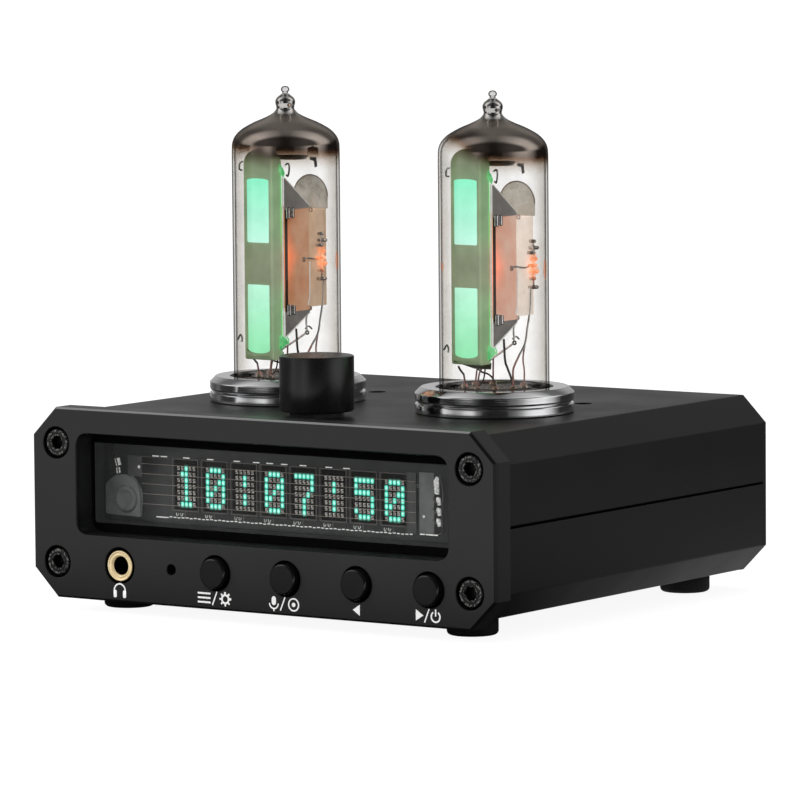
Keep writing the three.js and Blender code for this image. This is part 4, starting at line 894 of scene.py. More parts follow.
bright += [wire(hooked + (x + shift, metal_y, 0), 0.07, 5, 10) for x in cell_left for shift in (1.0, 2.0)]
upper_dashes = (-31.4, -29.4, -24.0, -18.3, -12.0, -7.4, -4.2, -0.8, 3.6, 9.6, 13.7)
dashes = [bar(x, 30.1, x + 1.5, 30.28) for x in upper_dashes]
comb = zip(np.arange(-27.4, 29.5, 0.97), 0.05 * np.tile((0, 1, 2, 1, 0, 2), 10))
dashes += [bar(x, 18.48 - drop, x + 0.6, 18.66 - drop) for x, drop in comb]
dashes += [bar(-30.6, 18.3, -27.7, 18.48), bar(31.2, 18.6, 32.3, 18.8), bar(32.6, 18.6, 35.2, 18.8)]
piece("display_dashes", dashes, glowing_dash_steel, "nickel")
piece("display_bright_metal", bright, glowing_steel, "nickel")
springs = [display_wire((35.5, 0.1, z), (34.8, -0.2, z + 0.5), (34.1, 0, z + 1.1), radius=[0.05] * 4 + [0.16] * 8,
                        count=12) for z in (24.6, 22.6, 20.6)]
springs += [display_wire((-41.0, 0, 30.2), (-40.5, 0, 29.6), (-39.9, 0, 28.2), (-39.7, 0, 26.4), (-39.5, 0, 25.9)),
            display_wire((35.7, 0.2, 30.0), (36.3, 0.2, 26.8), (36.1, 0.2, 23.0), (36.15, 0.2, 20.2),
                         (35.5, 0.2, 18.95), (31.1, 0.2, 18.8), radius=0.09, count=30)]
piece("display_springs", springs, dull_steel, "nickel")

# %% [markdown]
# ## Dots of phosphor
# Each character is five dots wide and seven high. The time is kept as rows of five marks, and
# all dots are placed at once: a grid of centres, times one small rounded dot. Lit dots shine in
# mint green; unlit ones are dull, with a faint painted glow, and crossed by the wires of the grid
# in front of them.
# %% Display dots
figures = {
    "0": "01110 10001 10011 10101 11001 10001 01110", "1": "00100 01100 00100 00100 00100 00100 01110",
    "5": "11111 10000 11110 00001 00001 10001 01110", "7": "11111 00001 00001 00010 00100 00100 00100",
    ":": "00000 00100 00100 00000 00100 00100 00000",
}
shown_time = "10:07:50"
lit = np.array([[[int(c) for c in row] for row in figures[f].split()] for f in shown_time], bool)
dot_step, line_step, middle_line = 0.93, 1.17, 24.6
column = cell_left[:, None, None] + cell_wide / 2 + dot_step * (np.arange(5) - 2)
line = middle_line - line_step * (np.arange(7)[:, None] - 3)
centres = np.stack(np.broadcast_arrays(column, line), -1)
dot_y = metal_y + 0.35


def dot_field(places, outline, y, thickness=0.06):
    """One dot repeated at all places: every dot's points are the first dot's, moved."""
    one, faces = stamped(outline, [(0, 0), (0, thickness)])
    shift = np.column_stack([places[:, 0], np.full(len(places), y), places[:, 1]])
    points = (one[None] + shift[:, None]).reshape(-1, 3)
    return points, (faces[None] + len(one) * np.arange(len(places))[:, None, None]).reshape(-1, 4)


def glowing(name, core, edge):
    """A lit dot: its own map is the place from the dot's middle, and the light goes from the core
    colour to the edge colour with the distance from there, a little uneven."""
    blank(name)
    u, v, _ = axes(add("UVMap", uv_map="dot"))
    far = distance(u, v) + noise(millimetres(), 1.2) * 0.5
    return surface(principled((0.05, 0.09, 0.08), 0.7, glow=mixed(ease(far, 0.35, 1.15), core, edge)))


def map_dots(mesh, places, half_size):
    """Each corner's map is its step from the nearest dot's middle, over half the dot's size."""
    corner = np.empty(len(mesh.loops), int)
    mesh.loops.foreach_get("vertex_index", corner)
    points = np.empty(3 * len(mesh.vertices))
    mesh.vertices.foreach_get("co", points)
    points = points.reshape(-1, 3)[:, [0, 2]] / MM
    step = points[:, None] - places[None]
    step = step[np.arange(len(points)), (step**2).sum(2).argmin(1)] / half_size
    mesh.uv_layers.new(name="dot").data.foreach_set("uv", step[corner].ravel())


for name, look, (w, h), cut, depth, thickness, core, edge in (
        ("display_dots_lit", "display_phosphor_lit", (0.365, 0.51), 0.28, 0.0, 0.06, (226, 255, 250), (74, 236, 204)),
        ("display_dot_halos", "display_phosphor_halo", (0.6, 0.72), 0.4, 0.07, 0.03, (10, 92, 76), (5, 26, 22))):
    dots = piece(name, dot_field(centres[lit], oblong(-w, -h, w, h, cut, 4), dot_y + depth, thickness),
                 glowing(look, paint(*core), paint(*edge)), "display_phosphor")
    map_dots(dots.data, centres[lit], (w, h))
# an unlit dot is crossed by the fine mesh before it, which leaves a bent pale stroke
w, h, t = 0.26, 0.37, 0.14
bent = np.array([(-w, -h), (w, -h), (w, t / 2), (t - w, t / 2), (t - w, h - t), (w, h - t), (w, h), (-w, h),
                 (-w, -t / 2), (w - t, -t / 2), (w - t, t - h), (-w, t - h)])
# the unlit dots have a faint painted glow
unlit = finish("display_phosphor_unlit", paint(120, 104, 96), paint(244, 240, 235), (0.6, 0.8), patch=1.6,
               grain=4.0, glow=(0.75, 0.70, 0.66), strength=0.13)
piece("display_dots_unlit", dot_field(centres[~lit], bent, dot_y), unlit, "display_phosphor")
backs = [plate(cell(x, 0.25, 0.1), 0.1, dot_y + 0.12) for x in cell_left]
cell_plate = finish("cell_plate", paint(24, 23, 23), paint(36, 34, 33), (0.5, 0.7), patch=0.8, grain=4.0, gloss=0.2)
piece("display_cell_plates", backs, cell_plate, "dark_glass")
print("lit dots:", int(lit.sum()), "of", lit.size)

# %% [markdown]
# ## Printed signs
# Signs printed in white stand by the controls: an outline of headphones; three bars and a gear
# ring; a small microphone and a ring with a dot; two triangles and the usual sign for on and
# off. Where two signs share a button, a slash parts them. They are thin plates of paint, a few
# hundredths of a millimetre thick, so that they stay crisp and cast no shadow.
# %% Printed signs
# the white ink has a faint painted glow
glowing_white_ink = finish("printed_white", paint(246, 246, 245), paint(254, 254, 253), (0.5, 0.6), grain=6.0,
                   glow=(0.22, 0.22, 0.22))
ink_levels, ink_y, sign_z, slash = [(0, 0), (0, 0.04)], face_y - 0.03, 4.75, 1.3


def ink(outline, *holes):
    """A closed outline of paint on the front face, with its holes."""
    return stamped(outline, ink_levels, [(hole, ink_levels) for hole in holes], ink_y)


def band(u, radius, width, start, end, steps=24, v=sign_z):
    """Part of a round band: out along the larger arc and back along the smaller one."""
    angle = np.radians(np.linspace(start, end, steps))
    arc = np.column_stack([np.cos(angle), np.sin(angle)])
    return np.concatenate([arc * (radius + width / 2), arc[::-1] * (radius - width / 2)]) + (u, v)


def stroke(u0, v0, u1, v1, width=0.26):
    """A straight stroke between two points, whose heights are counted from the signs' middle."""
    way = np.array([u1 - u0, v1 - v0])
    side = np.array([-way[1], way[0]]) / np.linalg.norm(way) * width / 2
    start, end = np.array([(u0, v0 + sign_z), (u1, v1 + sign_z)])
    return np.array([start - side, end - side, end + side, start + side])


def patch(u0, v0, u1, v1, cut, steps):
    """A rounded patch, whose heights are counted from the signs' middle."""
    return oblong(u0, sign_z + v0, u1, sign_z + v1, cut, steps)


bars_x, voice_x, left_x, right_x = button_x
teeth = np.linspace(0, 2 * np.pi, 65)[:-1]
gear = (1.18 + 0.22 * np.sign(np.cos(8 * teeth)))[:, None] * np.column_stack([np.cos(teeth), np.sin(teeth)])
marks = [band(jack_x, 1.32, 0.28, -25, 205), patch(jack_x - 1.5, -1.35, jack_x - 0.75, 0.1, 0.3, 4),
         patch(jack_x + 0.75, -1.35, jack_x + 1.5, 0.1, 0.3, 4)]
marks += [stroke(bars_x - 4.2, v, bars_x - 1.2, v, 0.34) for v in (-0.85, 0, 0.85)]
marks += [stroke(bars_x - 0.75, -slash, bars_x + 0.35, slash),
          (gear + (bars_x + 2.3, sign_z), circle(0.6, bars_x + 2.3, sign_z, 20)),
          patch(voice_x - 3.2, -0.35, voice_x - 2.2, 1.35, 0.6, 5), band(voice_x - 2.7, 1.0, 0.26, 180, 360),
          stroke(voice_x - 2.7, -1.5, voice_x - 2.7, -0.95), stroke(voice_x - 1.2, -slash, voice_x - 0.1, slash),
          band(voice_x + 1.9, 1.15, 0.28, 0, 359.9, 40), circle(0.42, voice_x + 1.9, sign_z, 16),
          np.array([(-0.85, 0), (0.75, -1.05), (0.75, 1.05)]) + (left_x, sign_z),
          np.array([(-2.9, -1.05), (-1.2, 0), (-2.9, 1.05)]) + (right_x, sign_z),
          stroke(right_x - 0.95, -slash, right_x + 0.1, slash),
          band(right_x + 1.55, 0.98, 0.3, 125, 415, v=sign_z - 0.1),
          stroke(right_x + 1.55, 0, right_x + 1.55, slash, 0.3)]
signs = [ink(*mark) if isinstance(mark, tuple) else ink(mark) for mark in marks]
piece("printed_signs", signs, glowing_white_ink, "printed_white")

# %% [markdown]
# ## Indicator tubes: bulb and getter film
# Each tube is a blown bulb, drawn in to a nipple and sealed with a bead of glass. Its outline is a
# smooth path through shares of the bulb's radius and height, turned round the axis, and the inner
# face is the same path set in by the wall. Under the dome lies a thin dark mirror of getter metal:
# a skin just inside the wall, whose share of metal fades downwards with a ragged edge from noise.
# The two tubes share nearly every shape, so shapes are made once and then placed in both.
# %% Bulb pieces
pin_length, radius, tall, wall, rim = 7, 10.625, 60.0, 0.5, 1.6
seat = {side: box(f"tube_base_{side}")[0][2] + pin_length for side in tubes}
lift = {"left": -0.5, "right": 0.65}
film_clear, film_full, pins_out = 45.6, 50.2, 5.95
shoulder = [(1, 0.70), (1, 0.79), (0.985, 0.818), (0.93, 0.8385), (0.81, 0.8595), (0.6, 0.8805),
            (0.4, 0.8955), (0.25, 0.909), (0.18, 0.9215), (0.165, 0.928)]
nipple = [(0.165, 0.928), (0.172, 0.935), (0.185, 0.944), (0.182, 0.953), (0.155, 0.962),
          (0.1, 0.970), (0.062, 0.9755)]
bead = [(0.062, 0.9755), (0.052, 0.979), (0.077, 0.9855), (0.075, 0.992), (0.05, 0.998), (0, 1.0)]


def on_tube(side, name, parts, material, slot, node=None, shift=(0, 0, 0), crease=34.0):
    """A piece that moves with a tube. Its parts are counted from the tube's axis and seat, and a
    star in a name stands for the side."""
    parts = [parts] if isinstance(parts, tuple) else parts
    place = np.array((*tubes[side], seat[side])) + shift
    name, node = name.replace("*", side), node and node.replace("*", side)
    piece(name, [(points + place, faces) for points, faces in parts], material, slot, node, f"tube_{side}", crease)


def shares(table, count):
    """A smooth outline through shares of the bulb's radius and height."""
    return smooth_path(np.array(table) * (radius, tall), count)


def set_in(path, amount):
    """An open outline moved to its left: each point goes the amount along the path's direction
    turned by a quarter, and never past the axis."""
    way = unit(np.gradient(path, axis=0))
    made = path + amount * np.column_stack([-way[:, 1], way[:, 0]])
    return np.column_stack([np.maximum(made[:, 0], 0), made[:, 1]])


def film(name, centre, z_clear, z_full, slant):
    """Getter film: thicker with height and with noise, and thinner over the screen, to the left.
    Thin film is brown glass, thick film is a dark mirror."""
    blank(name)
    where = millimetres((*centre, 0))
    x, y, z = axes(where)
    leftward = x * -0.82 + y * -0.57 - 1.0
    height = z + noise(where, 0.16, 4.0, 0.6) * 1.6 - larger(leftward, 0.0) * slant
    thickness = ease(height, z_clear + 0.8, z_full + 0.8)
    breath = mixed(ease(height, z_clear - 1.6, z_clear + 2.2), (1, 1, 1), (0.82, 0.79, 0.76))
    brown = ramp(thickness, [(0, (1, 1, 1)), (0.3, (0.70, 0.58, 0.48)), (0.6, (0.24, 0.17, 0.13)),
                             (1, (0.03, 0.024, 0.02))])
    tint = add("VectorMath", {0: brown, 1: breath}, operation="MULTIPLY")
    cloud = span(noise(where, 0.3), 0.3, 0.7, 0.07, 0.12)
    sheen = mixed(span(height, z_clear + 2.0, z_full + 3.0), (0.62, 0.5, 0.42), (0.46, 0.41, 0.37))
    matt = mixed(ease(height, z_full + 0.4, z_full + 3.0), (0, 0, 0), (0.115, 0.10, 0.09))
    # the sealed-off stem above the dome is clean chrome, without the dull breath
    stem = span(z, z_full + 3.6, z_full + 4.6)
    matt, sheen = mixed(stem, matt, (0, 0, 0)), mixed(stem, sheen, (0.86, 0.83, 0.80))
    cloud = mixed(stem, cloud, (0.05, 0.05, 0.05))
    mirror = add("AddShader", {0: add("BsdfGlossy", {"Color": sheen, "Roughness": cloud}),
                               1: add("BsdfDiffuse", {"Color": matt})})
    return surface(blended(thickness * 0.8, add("BsdfTransparent", {"Color": tint}), mirror))


# pressed dark glass has brown patches, and its few pale specks are painted glints
blank("tube_base_glass")
where = millimetres()
colour = mixed(span(noise(where, 0.8, 4.0, 1.5), 0.38, 0.66), paint(10, 9, 8), paint(108, 102, 92))
colour = mixed(span(noise(where, 2.6), 0.62, 0.68), colour, paint(226, 220, 210))
base_glass = surface(principled(colour, 0.1, height=noise(where, 1.3, 3.0, 1.0), relief=1.0, depth=0.0006, gloss=0.6))
# the seals round the pins are pale in patches: painted glints on the glossy glass
seal_glass = finish("seal_glass", paint(96, 70, 60), paint(240, 214, 200), (0.08, 0.2), 0.8, 1.2, 4.0,
                    relief=0.6, depth=0.0001)

upper = np.concatenate([shares(shoulder, 34), shares(nipple, 20)[1:]])
outside = np.concatenate([[(radius - 0.3, rim), (radius, rim + 0.35)], upper])
inner = set_in(upper[:-5], wall)
skin = np.concatenate([outside, [(0, outside[-1, 1]), (0, inner[-1, 1] + 0.05)], inner[::-1], [(radius - wall, rim)]])
points, faces = turned(skin, sides=128)
last, around = (len(skin) - 1) * 128, np.arange(128)
close = np.column_stack([last + around, last + (around + 1) % 128, (around + 1) % 128, around])
bulb = points, np.concatenate([faces, close])
drop = turned([(0, 0.974 * tall), (0.5, 0.9745 * tall), *shares(bead, 24)], sides=48)
near, far = set_in(upper[:-1], 0.07), set_in(upper[:-1], 0.12)
coat = turned([(0, far[-1, 1]), *far[::-1], *near, (0, near[-1, 1] + 0.03)])
angle = np.linspace(0, 2 * np.pi, 17)
heel = turned(np.column_stack([9.75 + 0.4 * np.cos(angle), rim + 1.0 + 0.7 * np.sin(angle)]))
base = [(0, 0), (9.5, 0), (10.0, 0.3), (10.1, 0.9), (10.1, rim), (9.7, rim + 0.05), (9.2, rim - 0.1),
        (8.3, rim + 0.2), (7.9, rim + 0.75), (7.3, rim + 1.15), (6.4, rim + 1.3), (4.6, rim + 1.15), (0, rim + 0.9)]
pin = [(0, -pin_length), (0.25, -6.95), (0.5, -6.6), (0.5, 0.4), (0, 0.4)]
mound = [(0, rim + 0.9), (0.85, rim + 1.1), (0.75, rim + 1.5), (0.4, rim + 1.85), (0, rim + 1.95)]
seal = [(0.22, rim + 2.0), (0.5, rim + 1.85), (0.78, rim + 1.55), (0.86, rim + 1.2), (0.22, rim + 1.2),
        (0.22, rim + 2.0)]
pin_angle = np.pi / 2 + np.arange(1, 10) * np.pi / 5
pins = pins_out * np.column_stack([np.cos(pin_angle), np.sin(pin_angle), 0 * pin_angle])
base = [turned(base)] + [turned(profile, place, sides=16) for place in pins for profile in (pin, mound)]
seals = [turned(seal, place, sides=16) for place in pins]
for side, slant in (("left", 0.15), ("right", 0.6)):
    z0 = seat[side]
    coating = film(f"getter_film_{side}", tubes[side], z0 + film_clear, z0 + film_full, slant)
    on_tube(side, "tube_bulb_*_glass", bulb, tube_glass, "tube_glass", "tube_bulb_*", crease=50)
    on_tube(side, "tube_tip_*", drop, tip_glass, "tube_glass")
    on_tube(side, "tube_film_*", coat, coating, "tube_getter_film")
    on_tube(side, "tube_heel_*", heel, tip_glass, "tube_glass")
    on_tube(side, "tube_base_*_glass", base, base_glass, "tube_base_glass", "tube_base_*")
    on_tube(side, "tube_pin_seals_*", seals, seal_glass, "tube_base_glass")

# %% [markdown]
# ## Indicator tubes: screen
# The screen is a trough of sheet metal coated with a pale green powder. Electrons light two
# windows of it. The trough is an arched outline carried back, in and forwards again, and the
# windows are thin plates that shine, a little yellower towards the middle of the screen.
# %% Screen pieces
def arch(x0, x1, bottom, top, rise, cut=0.3):
    """An outline with a flat foot, rounded lower corners and half an ellipse on top."""
    angle = np.linspace(0, np.pi, 28)
    head = np.column_stack([(x0 + x1) / 2 + (x1 - x0) / 2 * np.cos(angle), top - rise + rise * np.sin(angle)])
    return np.concatenate([oblong(x0, bottom, x1, top, cut)[:10], head])


def powder(name, z0, edge_x, edge_y):
    """Unlit screen powder: sage green, a little brown at the top, with a faint shine beside the
    lit windows, on the turned-back side, and a green one along its rear edge."""
    blank(name)
    where = millimetres((0, 0, z0))
    x, y, z = axes(where)
    colour = mixed(span(noise(where, 0.25, 3.0), 0.35, 0.65), paint(150, 160, 122), paint(164, 174, 136))
    colour = mixed(ease(z, 45.5, 48.5), colour, paint(128, 124, 84))
    beside = larger(ease(z, 27.0, 33.0) * ease(z, 47.0, 42.0), ease(z, 6.0, 11.0) * ease(z, 24.0, 18.0))
    shine = mixed(beside, (0.015, 0.03, 0.018), (0.03, 0.10, 0.05))
    aside = ease(x, edge_x - 0.7, edge_x - 0.1)
    shine = mixed(aside, shine, mixed(beside, (0.15, 0.18, 0.11), (0.13, 0.25, 0.13)))
    shine = mixed(aside * ease(y, edge_y - 0.6, edge_y) * beside, shine, (0.05, 0.55, 0.14))
    return surface(principled(colour, 0.62, height=noise(where, 9.0), relief=0.3, glow=shine))


def lit_window(name, low, high, low_colour, high_colour):
    """Light that changes evenly with height between two colours, with a faint unevenness."""
    blank(name)
    where = millimetres()
    z = axes(where)[2]
    share = span(z + noise(where, 0.4) * 1.5, low + 0.75, high + 0.75)
    return surface(principled((0.02, 0.04, 0.03), 0.8, glow=mixed(share, low_colour, high_colour)))


def leaning(part, slope=-0.05):
    """The part with each point moved back by a share of how far left of the axis it is."""
    points = part[0].copy()
    points[:, 1] += slope * points[:, 0]
    return points, part[1]


screen_y, screen_left, screen_right, screen_depth = -9.0, -4.15, 3.2, 3.1
screen_low, screen_high, crown, window_left, window_right = 7.1, 48.5, 3.1, -3.1, 2.3
levels = [(0.75, 0), (0.3, 0.06), (0.08, 0.25), (0, 0.55), (0, screen_depth), (0.3, screen_depth), (0.3, 0.75),
          (0.6, 0.4)]
trough = leaning(stamped(arch(screen_left, screen_right, screen_low, screen_high, crown, 0.5), levels, at=screen_y))
upper_low, upper_high, lower_low, lower_high = 30.15, 42.75, 8.4, 21.9
upper_window = arch(window_left, window_right, upper_low, upper_high, 0.4, 0.35)
lower_window = (arch(window_left, window_right, -lower_high, -lower_low, 0.8, 0.25) * (1, -1))[::-1]
windows = {"upper": (upper_window, upper_low, upper_high, (196, 255, 232), (140, 250, 205)),
           "lower": (lower_window, lower_low, lower_high, (150, 240, 182), (190, 255, 224))}
for side, (cx, cy) in tubes.items():
    z0, shift = seat[side] + lift[side], (0, 0, lift[side])
    coating = powder(f"screen_powder_{side}", z0, cx + screen_right, cy + screen_y + 2.9)
    on_tube(side, "tube_screen_*", trough, coating, "screen_phosphor", "tube_target_*", shift)
    for name, (outline, low, high, *colours) in windows.items():
        light = lit_window(f"lit_window_{name}_{side}", z0 + low, z0 + high, *[paint(*c) for c in colours])
        part = leaning(stamped(outline, [(0.05, -0.04), (0, 0), (0, 0.1)], at=screen_y))
        on_tube(side, f"tube_window_{name}_*", part, light, "screen_phosphor", shift=shift)

# %% [markdown]
# ## Indicator tubes: cage, shield and getter
# Behind the screen stands the cage: a box of sheet metal that the heater makes glow, with dark
# wings above and below, barrel clips at its front corners and a tall plate with an arched mica
# top behind it. The glow is light in the material, strongest half way up at the front edge.
# %% Cage pieces
def dimmed(colour, share):
    """A share of a colour's light."""
    return mixed(1.0, colour, (share, share, share), "MULTIPLY")


def heated(name, z0, cy, pale, deep, hot):
    """Metal lit from inside: peach all over, and orange and red near the heater."""
    blank(name)
    where = millimetres((0, cy, z0))
    _, y, z = axes(where)
    away = abs(z - 26.5) * 0.11 + (y + 5.4) * 0.2
    base = mixed(span(noise(where, 0.3, 3.0) + y * 0.04, 0.1, 0.75), deep, pale)
    light = mixed(ease(away, 1.25, 0.0) ** 1.6, dimmed(base, 0.5), hot)
    return surface(principled(base, 0.45, 0.1, glow=light))


def sheet_x(outline, x, thickness):
    """A plate seen from the side: its outline is in Y and Z, its thickness along X."""
    points, faces = stamped(outline, [(0.04, 0), (0, 0.06), (0, thickness)])
    return points[:, [1, 0, 2]] + (x, 0, 0), faces


def translucent(name, tint, dark, pale, low, high, inner_light=0.3):
    """A thin cloudy plate that lets part of what is behind it through and spreads light in it."""
    blank(name)
    cloud = noise(millimetres(), 0.35, 4.0, 0.4)
    clear = add("BsdfTransparent", {"Color": mixed(span(cloud, 0.3, 0.7), tint, (0.95, 0.94, 0.92))})
    colour = mixed(cloud, dark, pale)
    solid = principled(colour, 0.35, glow=dimmed(colour, inner_light))
    return surface(blended(span(cloud, 0.3, 0.7, low, high), clear, solid))


# the wings and the white rods have a faint painted glow
glowing_wing_steel = finish("glowing_wing_steel", paint(104, 100, 96), paint(184, 178, 172), (0.25, 0.4), 0.4, 0.2, 3.0,
                    glow=(0.07, 0.067, 0.063))
strip_dark = finish("strip_dark", paint(58, 44, 34), paint(96, 72, 54), (0.35, 0.5), 0.3, 0.3, 3.0)
silver = finish("electrode_silver", (0.45, 0.45, 0.45), (0.85, 0.85, 0.84), (0.1, 0.22), 1.0, 0.8, 4.0, 0.25)
glowing_rod_white = finish("glowing_rod_white", paint(222, 222, 218), paint(250, 250, 248), (0.2, 0.35), 0.1, 0.4, 3.0,
                   glow=(0.2, 0.2, 0.19))
looks = {
    "left": dict(pale=paint(206, 166, 134), deep=paint(190, 118, 78), hot=(0.95, 0.20, 0.06),
                 plate=(paint(176, 150, 126), paint(200, 176, 150)), tint=(0.50, 0.48, 0.44)),
    "right": dict(pale=paint(234, 196, 176), deep=paint(226, 160, 132), hot=(1.0, 0.22, 0.12),
                  plate=(paint(216, 204, 192), paint(236, 228, 220)), tint=(0.68, 0.65, 0.58)),
}
sides, front, back, low, high, wall_x, strip_x = (-1, 1), -5.75, 2.3, 15.9, 36.2, 3.62, 3.78
cage = [sheet_x(oblong(front, low, back, high, 0.3, 4), s * wall_x - 0.12, 0.25) for s in sides]
cage.append(brick((-3.6, back - 0.3, low), (3.6, back, high)))
strip = [(front - 0.1, low), (front + 0.75, low), (front + 0.75, high), (front - 0.1, high)]
strips = [sheet_x(strip, s * strip_x - 0.08, 0.16) for s in sides]
wing_front = front - 0.2
wing_shapes = ([(wing_front, 36.0), (back, 36.0), (back, 36.4), (wing_front, 42.2)],
               [(wing_front, 11.1), (back, 15.5), (back, low), (wing_front, low)])
wings = [sheet_x(shape, s * strip_x - 0.1, 0.2) for s in sides for shape in wing_shapes]
rods = [wire([(s * 3.55, -6.15, 42.4), (s * 3.55, -6.2, 9.2)], 0.17, 8, 2) for s in sides]
for x in (0.08 - strip_x, 0.08 + strip_x):
    rods += [wire([(x, front - 0.15, 42.3), (x, back + 0.2, 36.5)], 0.11, 6, 2),
             wire([(x, front, 11.0), (x, back + 0.1, 15.4)], 0.08, 6, 2)]
clips = []
for y, z0, z1 in ((-5.1, 34.2, 36.5), (-3.7, 34.3, 36.4), (-5.0, 15.2, 17.4), (-3.6, 15.3, 17.2)):
    barrel = [(0, z0), (0.42, z0), (0.55, z0 + 0.15), (0.55, z1 - 0.15), (0.42, z1), (0, z1)]
    clips += [turned(barrel, (s * 4.0, y, 0), sides=20) for s in sides]
ring = [(0.24, 0.12), (0.42, 0.16), (0.5, 0), (0.42, -0.16), (0.24, -0.12), (0.24, 0.12)]
clips += [turned(ring, place, "y", 24) for place in ((3.95, 2.7, 35.6), (3.95, 2.2, 16.2))]
shield_y, shield_low, shield_high = 8.5, 16.5, 35.6
outline = arch(-4.1, 4.1, 35.5, 42.1, 4.2)
mica = stamped(outline, [(0, 0), (0, 0.2)], at=shield_y - 0.35)
mica_edge = wire([(u, shield_y - 0.25, v) for u, v in outline[10:]], 0.13, 6, 60)
shield = [brick((-4.0, shield_y - 0.3, shield_low), (3.6, shield_y - 0.05, shield_high)),
          brick((3.4, 2.1, shield_low - 0.1), (3.65, shield_y - 0.2, shield_high - 0.2))]
pan_z = 45.6
pan = [(2.0, 0.1), (2.3, 0.06), (2.55, 0.2), (2.75, 0.5), (3.0, 0.62), (3.1, 0.5), (2.95, 0.3), (2.7, -0.05),
       (2.3, -0.14), (1.95, -0.1), (2.0, 0.1)]
strap = np.array([(4.6, -0.3), (5.9, -0.6), (6.2, -1.9), (7.0, -1.7), (6.6, 0.1), (4.6, 0.3)]) + (0, pan_z)
getter = [turned(pan, (0, 2.2, pan_z), sides=64), sheet_x(strap, 2.5, 0.15),
          wire([(-3.0, 2.2, pan_z + 0.4), (-3.0, 1.9, pan_z - 2.0), (-3.4, 1.2, 36.0)], 0.14, 6, 16)]
for side, look in looks.items():
    hot_box = heated(f"heated_box_{side}", seat[side], tubes[side][1], look["pale"], look["deep"], look["hot"])
    cloudy = translucent(f"mica_{side}", look["tint"], paint(150, 142, 128), paint(186, 178, 164), 0.3, 0.5)
    amber = finish(f"mica_edge_{side}", paint(112, 92, 66), paint(150, 132, 104), (0.3, 0.45), 0.0, 0.5, 3.0)
    milky = translucent(f"shield_plate_{side}", (0.93, 0.90, 0.86), *look["plate"], 0.6, 0.8, 0.6)
    on_tube(side, "tube_box_*", cage, hot_box, "electrode_metal")
    on_tube(side, "tube_cage_strips_*", strips, strip_dark, "electrode_metal", "tube_cage_*")
    on_tube(side, "tube_cage_wings_*", wings, glowing_wing_steel, "electrode_metal")
    on_tube(side, "tube_clips_*", clips, silver, "electrode_metal")
    on_tube(side, "tube_rods_*", rods, glowing_rod_white, "electrode_metal")
    on_tube(side, "tube_shield_top_*", mica, cloudy, "mica", "tube_shield_*")
    on_tube(side, "tube_mica_edge_*", mica_edge, amber, "mica")
    on_tube(side, "tube_shield_plate_*", shield, milky, "electrode_metal")
    on_tube(side, "tube_getter_*_pan", getter, dull_steel, "nickel", "tube_getter_*")

# %% [markdown]
# ## Indicator tubes: leads, hooks and glow
# Thin leads climb from the pins, some bare copper, some darkened by heat, and hooks hold the
# screen. A column of small eyelets carries the heater's end, which glows orange. Each lead is a
# round section carried along a smooth path whose points are counted from the tube's axis.
# %% Lead pieces
copper = finish("lead_copper", paint(150, 96, 86), paint(206, 156, 146), (0.3, 0.45), 0.3, 0.8, 3.0)
dark_lead = finish("lead_dark", paint(58, 50, 44), paint(112, 100, 90), (0.3, 0.45), 0.3, 0.8, 3.0)
grey_lead = finish("lead_grey", (0.22, 0.21, 0.20), (0.80, 0.79, 0.77), (0.1, 0.22), 1.0, 0.8, 4.0, 0.25)
skirt_olive = finish("skirt_olive", paint(66, 64, 52), paint(104, 100, 82), (0.4, 0.5), 0.2, 0.3, 3.0)


def ember(name, z0, cy):
    """Eyelets lit by the heater's end: grey metal that turns orange, then almost white, near it."""
    blank(name)
    where = millimetres((0, cy + 7.6, z0 + 25.6))
    _, y, z = axes(where)
    far = abs(z) + abs(y) * 0.8 + noise(where, 1.5)
    base = mixed(span(noise(where, 0.9, 3.0), 0.35, 0.65), paint(110, 92, 76), paint(236, 228, 220))
    light = mixed(ease(far, 1.5, 4.2), (1.0, 0.26, 0.08), (0.02, 0.012, 0.008))
    light = mixed(ease(far, 0.7, 1.5), (1.0, 0.78, 0.62), light)
    return surface(principled(base, 0.2, 0.8, glow=light))


def leads(*table):
    """One lead for each row of a radius and the points of its path."""
    return [wire(points, size, 8, 10 * len(points)) for size, *points in table]


def eyelet(place, axis="y", size=0.0):
    """A small ring round a place: the usual one, or a heavier one of a given size."""
    heavy = [(size * 0.5, 0.2), (size * 0.8, 0.32), (size, 0), (size * 0.8, -0.32), (size * 0.5, -0.2)]
    profile = heavy if size else [(0.2, 0.15), (0.42, 0.2), (0.52, 0), (0.42, -0.2), (0.2, -0.15)]
    return turned(profile + profile[:1], place, axis, 20)


def haze(place, wide, tall):
    """A soft spot of glow: an ellipsoid, the radius its width times the sine of the angle from the
    pole, the height its half height times the cosine."""
    angle = np.linspace(0, np.pi, 17)
    return turned(np.column_stack([wide * np.sin(angle), tall * np.cos(angle)]), place, sides=24)


